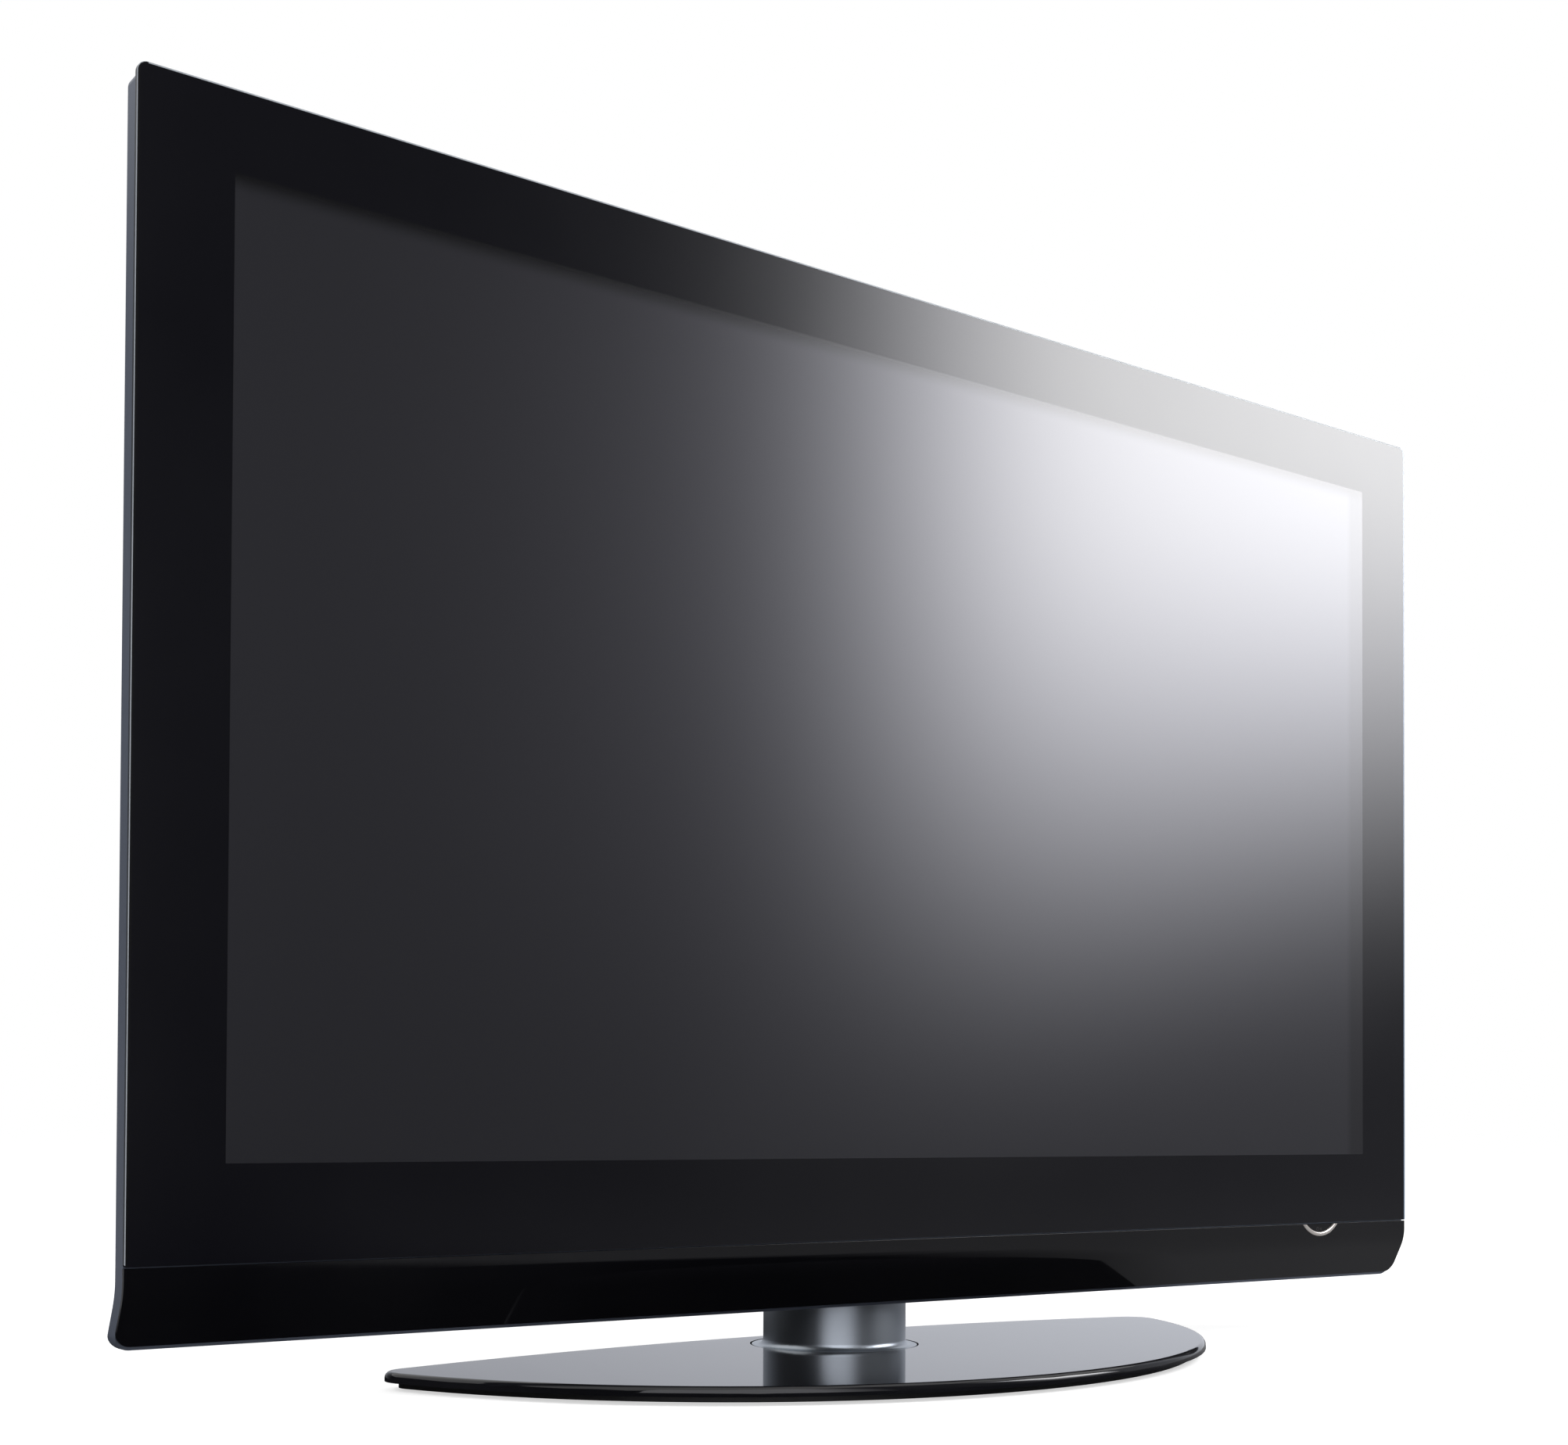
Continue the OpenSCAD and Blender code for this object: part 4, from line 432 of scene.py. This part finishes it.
def shade(obj, round_off=0):
    """Smooth shading across fine facets, with true edges left sharp or rounded off, and flat faces flat."""
    for face in obj.data.polygons:
        face.use_smooth = True
    weld = obj.modifiers.new("weld", "WELD")
    weld.merge_threshold = WELD_GAP
    if round_off:
        bevel = obj.modifiers.new("round", "BEVEL")
        bevel.width = round_off
        bevel.segments = ROUND_STEPS
        bevel.angle_limit = ROUND_ANGLE
    split = obj.modifiers.new("edges", "EDGE_SPLIT")
    split.split_angle = SHARP_ANGLE
    normals = obj.modifiers.new("normals", "WEIGHTED_NORMAL")
    normals.weight = NORMAL_WEIGHT
    normals.keep_sharp = True


def dress(obj, slot):
    """Gives a CAD node its slot's material and its shading."""
    obj.data.materials.clear()
    obj.data.materials.append(MATERIALS[slot])
    shade(obj, ROUND_OFF.get(slot, 0))


for node_name, node_object in NODES.items():
    dress(node_object, SLOT_OF[node_name])

# Pieces with finer meshes than the frame's


def make_piece(name, points, faces, materials, node, body="set"):
    """A mesh piece that stands for a CAD node. Each face is its corners and the place of its material."""
    mesh = bpy.data.meshes.new(name)
    mesh.from_pydata([tuple(p) for p in points], [], [corners for corners, _ in faces])
    for material in materials:
        mesh.materials.append(MATERIALS[material])
    for face, (_, place) in zip(mesh.polygons, faces):
        face.material_index = place
    obj = bpy.data.objects.new(name, mesh)
    bpy.context.scene.collection.objects.link(obj)
    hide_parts(node)
    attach(obj, body)
    shade(obj)


def band(first, second, count, place):
    """Faces between two closed rings of count points, whose first points are given."""
    after = [(i + 1) % count for i in range(count)]
    return [((first + i, first + k, second + k, second + i), place) for i, k in enumerate(after)]


GLASS_CORNER_R = 7 * MM
GLASS_LOW_R = 1.5 * MM
GLASS_CHAMFER = 0.5 * MM
INK_SIDE = 2 * MM
INK_TOP = 1.2 * MM
INK_LOW = 0.06 * MM
LEAST_R = 0.2 * MM
GLASS_STEPS = 12
# Corners of the glass: whether each is on the right and at the top, and where its arc starts in degrees
GLASS_CORNERS = ((1, 0, 270), (1, 1, 0), (0, 1, 90), (0, 0, 180))
GLASS_FACES = ("glass_border", "front_glass", "glass_back", "glass_rim", "glass_chamfer", "glass_edge")


def glass_outline(low, high, side=0, top=0, foot=0):
    """Points round the glass, seen from the front, counter-clockwise from its lower right corner.

    The outline is drawn in by side, top and foot from the edges of the glass.
    """
    points = []
    for right, above, turn in GLASS_CORNERS:
        radius = max((GLASS_CORNER_R if above else GLASS_LOW_R) - side, LEAST_R)
        middle_x = high.x - side - radius if right else low.x + side + radius
        middle_z = high.z - top - radius if above else low.z + foot + radius
        for i in range(GLASS_STEPS + 1):
            angle = math.radians(turn + 90 * i / GLASS_STEPS)
            points.append((middle_x + radius * math.cos(angle), middle_z + radius * math.sin(angle)))
    return points


def make_front_glass():
    """The front glass: a clear rim, an inked border, a window over the picture, and ground sides and top,
    with a painted highlight on the chamfer.
    """
    low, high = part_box("front_glass")
    border, window, back, rim, chamfer, edge = range(len(GLASS_FACES))
    inked = glass_outline(low, high, INK_SIDE, INK_TOP, INK_LOW)
    rings = (
        (inked, low.y), (glass_outline(low, high, GLASS_CHAMFER, GLASS_CHAMFER), low.y),
        (glass_outline(low, high), low.y + GLASS_CHAMFER), (glass_outline(low, high), high.y))
    points = [(x, y, z) for outline, y in rings for x, z in outline]
    count = len(inked)
    side = count // len(GLASS_CORNERS)
    faces = band(count, 0, count, rim)
    faces[2 * side - 1] = (faces[2 * side - 1][0], chamfer)
    for ring, ground in ((1, chamfer), (2, edge)):
        for i, (corners, _) in enumerate(band((ring + 1) * count, ring * count, count, ground)):
            faces.append((corners, ground if side - 1 <= i < 3 * side else border))
    corners = [(PICTURE_W / 2, PICTURE_LOW), (PICTURE_W / 2, PICTURE_TOP),
               (-PICTURE_W / 2, PICTURE_TOP), (-PICTURE_W / 2, PICTURE_LOW)]
    last = (len(rings) - 1) * count
    for ring, y, facing, clear, ink in ((0, low.y, 1, window, border), (last, high.y, -1, back, back)):
        first = len(points)
        points += [(x, y, z) for x, z in corners]
        faces.append((tuple(range(first, len(points)))[::facing], clear))
        for k in range(len(corners)):
            arc = [ring + (k * side + i) % count for i in range(side)]
            for a, b in zip(arc, arc[1:]):
                faces.append(((a, b, first + k)[::facing], ink))
            far = (first + (k + 1) % len(corners), first + k)
            faces.append(((arc[-1], ring + (k + 1) * side % count, *far)[::facing], ink))
    make_piece("glass_front", points, faces, GLASS_FACES, "front_glass")


EYE_W = 49 * MM
EYE_DROP = 11.5 * MM
EYE_BAR = 3.6 * MM
EYE_HORN = 5 * MM
EYE_DOME = 0.8 * MM
EYE_SKIRT = 2 * MM
EYE_STEPS = 64
DOME_STEPS = 10


def segment_radius(chord, drop):
    """The radius of an arc that sinks by drop under a chord."""
    return (chord * chord / 4 + drop * drop) / (2 * drop)


def make_crescent():
    """The crescent under the status window, domed across its bar."""
    low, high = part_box("eye_crescent")
    middle_x = (low.x + high.x) / 2
    face_y = low.y + EYE_DOME
    outer_r = segment_radius(EYE_W, EYE_DROP)
    inner_r = segment_radius(EYE_W - 2 * EYE_HORN, EYE_DROP - EYE_BAR)
    arcs = [
        (radius, middle_z, math.acos((middle_z - high.z) / radius))
        for radius, middle_z in ((outer_r, low.z + outer_r), (inner_r, low.z + EYE_BAR + inner_r))]
    points = []
    faces = []
    count = DOME_STEPS + 3
    for i in range(EYE_STEPS + 1):
        along = 2 * i / EYE_STEPS - 1
        outer, inner = (
            Vector((math.sin(along * end) * radius, middle_z - math.cos(along * end) * radius))
            for radius, middle_z, end in arcs)
        ring = [(outer, face_y + EYE_SKIRT)]
        for k in range(DOME_STEPS + 1):
            angle = math.pi * k / DOME_STEPS
            ring.append((outer.lerp(inner, (1 - math.cos(angle)) / 2), face_y - EYE_DOME * math.sin(angle)))
        ring.append((inner, face_y + EYE_SKIRT))
        points += [(middle_x + place.x, y, place.y) for place, y in ring]
    for i in range(EYE_STEPS):
        faces += band((i + 1) * count, i * count, count, 0)
    faces.append((tuple(range(count)), 0))
    faces.append((tuple(range(EYE_STEPS * count, (EYE_STEPS + 1) * count))[::-1], 0))
    make_piece("crescent", points, faces, ("crescent_chrome",), "eye_crescent")


SCREW_REACH = 9 * MM
SHANK_R = 1.5 * MM
TIP_SHARE = 0.2
COVER_HEAD_T = 2.4 * MM
BASE_HEAD_T = 1.8 * MM
# Shares of a screw head's radius, and of its thickness for the depths
CROSS_REACH = 0.56
CROSS_FLOOR = 0.44
CROSS_HALF_W = 0.13
CROSS_DEPTH = 0.6
HEAD_FLAT = 0.64
HEAD_DROP = 0.55
HEAD_RINGS = 4
SCREW_SIDES = 24
SCREW_TURN = math.radians(37)


def clusters(mesh, way, reach):
    """A mesh's points in groups whose members lie within reach of the first, measured across a way."""
    groups = []
    for vertex in mesh.vertices:
        flat = vertex.co - way * vertex.co.dot(way)
        for seed, members in groups:
            if (flat - seed).length < reach:
                members.append(vertex.co)
                break
        else:
            groups.append((flat, [vertex.co]))
    return [members for _, members in groups]


def extent(points, way):
    """The least and the greatest reach of points along a way."""
    reaches = [point.dot(way) for point in points]
    return min(reaches), max(reaches)


def cross_outline(reach, half_w):
    """Points round a cross, counter-clockwise."""
    bend = (reach + half_w) / 2
    arm = [(reach, -half_w), (reach, 0), (reach, half_w), (bend, half_w), (half_w, half_w), (half_w, bend)]
    turns = ((1, 0), (0, 1), (-1, 0), (0, -1))
    return [(x * c - y * s, x * s + y * c) for c, s in turns for x, y in arm]


def circle_outline(radius):
    """Points round a circle that match those round a cross."""
    angles = [2 * math.pi / SCREW_SIDES * (i - 1) for i in range(SCREW_SIDES)]
    return [(radius * math.cos(angle), radius * math.sin(angle)) for angle in angles]


def screw_rings(radius, length, head_t):
    """A screw's rings from the floor of its cross to its tip, each with its depth below the head's top."""
    rings = [
        (cross_outline(CROSS_FLOOR * radius, CROSS_HALF_W * radius / 2), CROSS_DEPTH * head_t),
        (cross_outline(CROSS_REACH * radius, CROSS_HALF_W * radius), 0),
    ]
    for i in range(HEAD_RINGS + 1):
        share = i / HEAD_RINGS
        wide = radius * (HEAD_FLAT + (1 - HEAD_FLAT) * share)
        rings.append((circle_outline(wide), HEAD_DROP * head_t * share ** 2))
    rings.append((circle_outline(radius), head_t))
    rings.append((circle_outline(SHANK_R), head_t))
    rings.append((circle_outline(SHANK_R), length - SHANK_R))
    rings.append((circle_outline(SHANK_R * TIP_SHARE), length))
    return rings


def make_screws(name, node, body, facing, head_t):
    """Cross-head screws in the places of a node's plain ones, with rounded heads that face one way."""
    facing = Vector(facing)
    across = facing.orthogonal().normalized()
    upward = facing.cross(across)
    points = []
    faces = []
    for i, members in enumerate(clusters(NODES[node].data, facing, SCREW_REACH)):
        (left, right), (low, high), (end, top) = (extent(members, way) for way in (across, upward, facing))
        middle = across * (left + right) / 2 + upward * (low + high) / 2 + facing * top
        turn = Matrix.Rotation(i * SCREW_TURN, 3, facing)
        rings = screw_rings((right - left) / 2, top - end, head_t)
        first = len(points)
        for outline, depth in rings:
            points += [middle + turn @ (across * u + upward * v) - facing * depth for u, v in outline]
        faces.append((tuple(range(first, first + SCREW_SIDES)), 0))
        for k in range(len(rings) - 1):
            ring = first + k * SCREW_SIDES
            faces += band(ring + SCREW_SIDES, ring, SCREW_SIDES, 0)
        faces.append((tuple(range(len(points) - SCREW_SIDES, len(points)))[::-1], 0))
    make_piece(name, points, faces, (SLOT_OF[node],), node, body)


make_front_glass()
make_crescent()
make_screws("cross_head_cover_screws", "cover_screws", "set", (0, 1, 0), COVER_HEAD_T)
make_screws("cross_head_base_screws", "base_screws", "base", (0, 0, -1), BASE_HEAD_T)

# Studio, in metres: a pale floor, white all round, soft lamps, and cards that only reflections see
FLOOR_REACH = 30
FLOOR_COLOUR = 0.8
FLOOR_ROUGH = 0.9
FLOOR_GLOW = 0.6
AMBIENT = 0.5
COOL_WHITE = (0.95, 0.953, 1.0)
PLAIN_WHITE = (0.962, 0.961, 0.970)
SKY_WHITE = (0.885, 0.915, 1.0)
# The soft light: its strength, where it fades in across and upward, its edges and its tints
GLOW = 13.2
GLOW_Y = -2.0
GLOW_ACROSS = (1.17, 2.325)
GLOW_UPWARD = (0.17, 2.0)
GLOW_TILT = 0.25
GLOW_LEVEL_X = 2.5
GLOW_TOP = (2.8, 2.3)
GLOW_RIGHT = 6.0
GLOW_FOOT = 0.005
GLOW_FRINGE = (0.5, COOL_WHITE)
GLOW_HEART = (0.95, PLAIN_WHITE)
FIRST_BOUNCE = 1.5
# The dark room in front, from left to right, and its paler left end
ROOM_DIM = 0.18
PANEL_DIM = 0.05
PANEL_DIM_X = (0.0, 3.0)
PALE_END = 1.8
PALE_X = (-0.6, 0.0)
PANEL_Y = GLOW_Y - 0.05
PANEL_X = (-3, 6)
PANEL_H = 4
# The cloth over the floor, and where it turns from dark to grey
CLOTH_Z = 0.001
CLOTH_DARK = 0.006
CLOTH_GREY = 0.3
CLOTH_BACK = (0.5, 0.9)
CLOTH_SPAN = (0.15, 0.4)
# The round wall, and where it turns pale
ROOM_R = 5.0
ROOM_H = 3.0
ROOM_STEPS = 48
WALL_GREY = 0.36
WALL_PALE = 0.93
WALL_RIGHTWARD = (-0.7 * ROOM_R, 0.8 * ROOM_R)
WALL_BACKWARD = (0, 0.5 * ROOM_R)
# Each lamp: its name, place, aim, diameter and power in watts
LAMPS = (
    ("key", (2.4, -2.6, 3.0), (0, 0, 0.4), 2.5, 110),
    ("fill", (-3.0, 1.2, 2.2), (-0.3, 0, 0.5), 2.0, 50),
)


def stage_mesh(name, points, faces, material):
    """A mesh that belongs to the stage."""
    mesh = bpy.data.meshes.new(name)
    mesh.from_pydata(points, [], faces)
    mesh.materials.append(material)
    obj = bpy.data.objects.new(name, mesh)
    bpy.context.scene.collection.objects.link(obj)
    return obj


def level_sheet(name, reach, z, material):
    """A square sheet on the floor."""
    points = [(-reach, -reach, z), (reach, -reach, z), (reach, reach, z), (-reach, reach, z)]
    return stage_mesh(name, points, [(0, 1, 2, 3)], material)


def upright_sheet(name, x_span, y, z_span, material):
    """An upright sheet that faces the object from in front."""
    (left, right), (low, high) = x_span, z_span
    points = [(left, y, low), (right, y, low), (right, y, high), (left, y, high)]
    return stage_mesh(name, points, [(0, 1, 2, 3)], material)


def seen_ray(nodes):
    """1 for rays that show a background: the camera's own, and those that gloss or glass sends on."""
    path = nodes.add("ShaderNodeLightPath").outputs
    total = nodes.math("ADD", path["Is Camera Ray"], path["Is Glossy Ray"])
    total = nodes.math("ADD", total, path["Is Transmission Ray"])
    return nodes.math("MINIMUM", total, 1.0)


def make_world():
    """White to the eye and in reflections, and a dimmer light on the object."""
    world = bpy.data.worlds.new("studio")
    bpy.context.scene.world = world
    world.use_nodes = True
    nodes = Nodes(world.node_tree)
    light = world.node_tree.nodes["Background"]
    light.inputs["Color"].default_value = (1, 1, 1, 1)
    nodes.link(nodes.span(seen_ray(nodes), AMBIENT, 1.0, *WHOLE), light.inputs["Strength"])


def make_floor():
    """A pale floor that keeps the object's shadow."""
    material, nodes, shader = new_material(
        "floor", Base_Color=(FLOOR_COLOUR, FLOOR_COLOUR, FLOOR_COLOUR, 1), Roughness=FLOOR_ROUGH,
        Specular_IOR_Level=0, Emission_Color=(1, 1, 1, 1))
    nodes.link(nodes.math("MULTIPLY", seen_ray(nodes), FLOOR_GLOW), shader.inputs["Emission Strength"])
    level_sheet("floor", FLOOR_REACH, 0, material)


def only_reflected(obj):
    """Hides a piece of the stage from all but reflections."""
    obj.visible_camera = False
    obj.visible_diffuse = False
    obj.visible_transmission = False
    obj.visible_shadow = False


def glowing(name, colour=COOL_WHITE):
    """A material that only glows, its nodes and its emission node."""
    material = bpy.data.materials.new(name)
    material.use_nodes = True
    tree = material.node_tree
    tree.nodes.clear()
    nodes = Nodes(tree)
    glow = nodes.add("ShaderNodeEmission", color=(*colour, 1))
    nodes.link(glow.outputs["Emission"], nodes.add("ShaderNodeOutputMaterial").inputs["Surface"])
    return material, nodes, glow


def make_soft_light():
    """The large soft light in front on the right. Only a first reflection shows it, not one of another."""
    material, nodes, glow = glowing("soft_light")
    across = nodes.eased(nodes.axis("X"), *GLOW_ACROSS)
    tilt_end = GLOW_TILT * (GLOW_RIGHT - GLOW_LEVEL_X)
    tilt = nodes.span(nodes.axis("X"), 0.0, tilt_end, GLOW_LEVEL_X, GLOW_RIGHT, clamp=False)
    upward = nodes.eased(nodes.math("SUBTRACT", nodes.axis("Z"), tilt), *GLOW_UPWARD)
    topped = nodes.eased(nodes.axis("Z"), *GLOW_TOP)
    soft = nodes.product(across, upward, topped)
    nodes.link(nodes.ramp(soft, GLOW_FRINGE, GLOW_HEART), glow.inputs["Color"])
    bounces = nodes.add("ShaderNodeLightPath").outputs["Glossy Depth"]
    direct = nodes.math("LESS_THAN", bounces, FIRST_BOUNCE)
    nodes.link(nodes.math("ADD", nodes.product(soft, GLOW, direct), ROOM_DIM), glow.inputs["Strength"])
    light = upright_sheet(
        "soft_light", (GLOW_ACROSS[0], GLOW_RIGHT), GLOW_Y, (GLOW_FOOT, GLOW_TOP[0]), material)
    only_reflected(light)


def make_front_panel():
    """The dark room in front, behind the soft light, with a paler stretch at its left end."""
    material, nodes, glow = glowing("front_panel")
    dark = nodes.span(nodes.axis("X"), PANEL_DIM, ROOM_DIM, *PANEL_DIM_X)
    pale = nodes.span(nodes.axis("X"), PALE_END, 0.0, *PALE_X)
    nodes.link(nodes.math("ADD", dark, pale), glow.inputs["Strength"])
    only_reflected(upright_sheet("front_panel", PANEL_X, PANEL_Y, (0, PANEL_H), material))


def make_room():
    """A round wall that only reflections see: dark on the left, grey in front, pale behind on the right."""
    material, nodes, glow = glowing("room", SKY_WHITE)
    rightward = nodes.span(nodes.axis("X"), *WHOLE, *WALL_RIGHTWARD)
    backward = nodes.span(nodes.axis("Y"), WALL_GREY, WALL_PALE, *WALL_BACKWARD)
    nodes.link(nodes.product(rightward, backward), glow.inputs["Strength"])
    points = []
    for i in range(ROOM_STEPS):
        angle = 2 * math.pi * i / ROOM_STEPS
        points += [(ROOM_R * math.cos(angle), ROOM_R * math.sin(angle), z) for z in (0, ROOM_H)]
    last = len(points)
    faces = [(i, i + 1, (i + 3) % last, (i + 2) % last) for i in range(0, last, 2)]
    only_reflected(stage_mesh("room", points, faces, material))


def make_floor_cloth():
    """A cloth over the floor that only reflections see: dark in front on the left, and grey elsewhere."""
    material, nodes, glow = glowing("floor_cloth")
    rightward = nodes.span(nodes.axis("X"), CLOTH_DARK, CLOTH_GREY, *CLOTH_SPAN)
    backward = nodes.span(nodes.axis("Y"), CLOTH_DARK, CLOTH_GREY, *CLOTH_BACK)
    nodes.link(nodes.math("MAXIMUM", rightward, backward), glow.inputs["Strength"])
    only_reflected(level_sheet("floor_cloth", ROOM_R, CLOTH_Z, material))


def make_lamp(name, place, aim, size, power):
    """A round soft lamp that reflections don't show."""
    light = bpy.data.lights.new(name, "AREA")
    light.shape = "DISK"
    light.size = size
    light.energy = power
    lamp = bpy.data.objects.new(name, light)
    lamp.location = place
    lamp.rotation_euler = (Vector(aim) - Vector(place)).to_track_quat("-Z", "Y").to_euler()
    lamp.visible_glossy = False
    lamp.visible_camera = False
    bpy.context.scene.collection.objects.link(lamp)


make_world()
make_floor()
make_soft_light()
make_front_panel()
make_room()
make_floor_cloth()
for lamp_values in LAMPS:
    make_lamp(*lamp_values)

bpy.context.scene.view_settings.view_transform = "Standard"
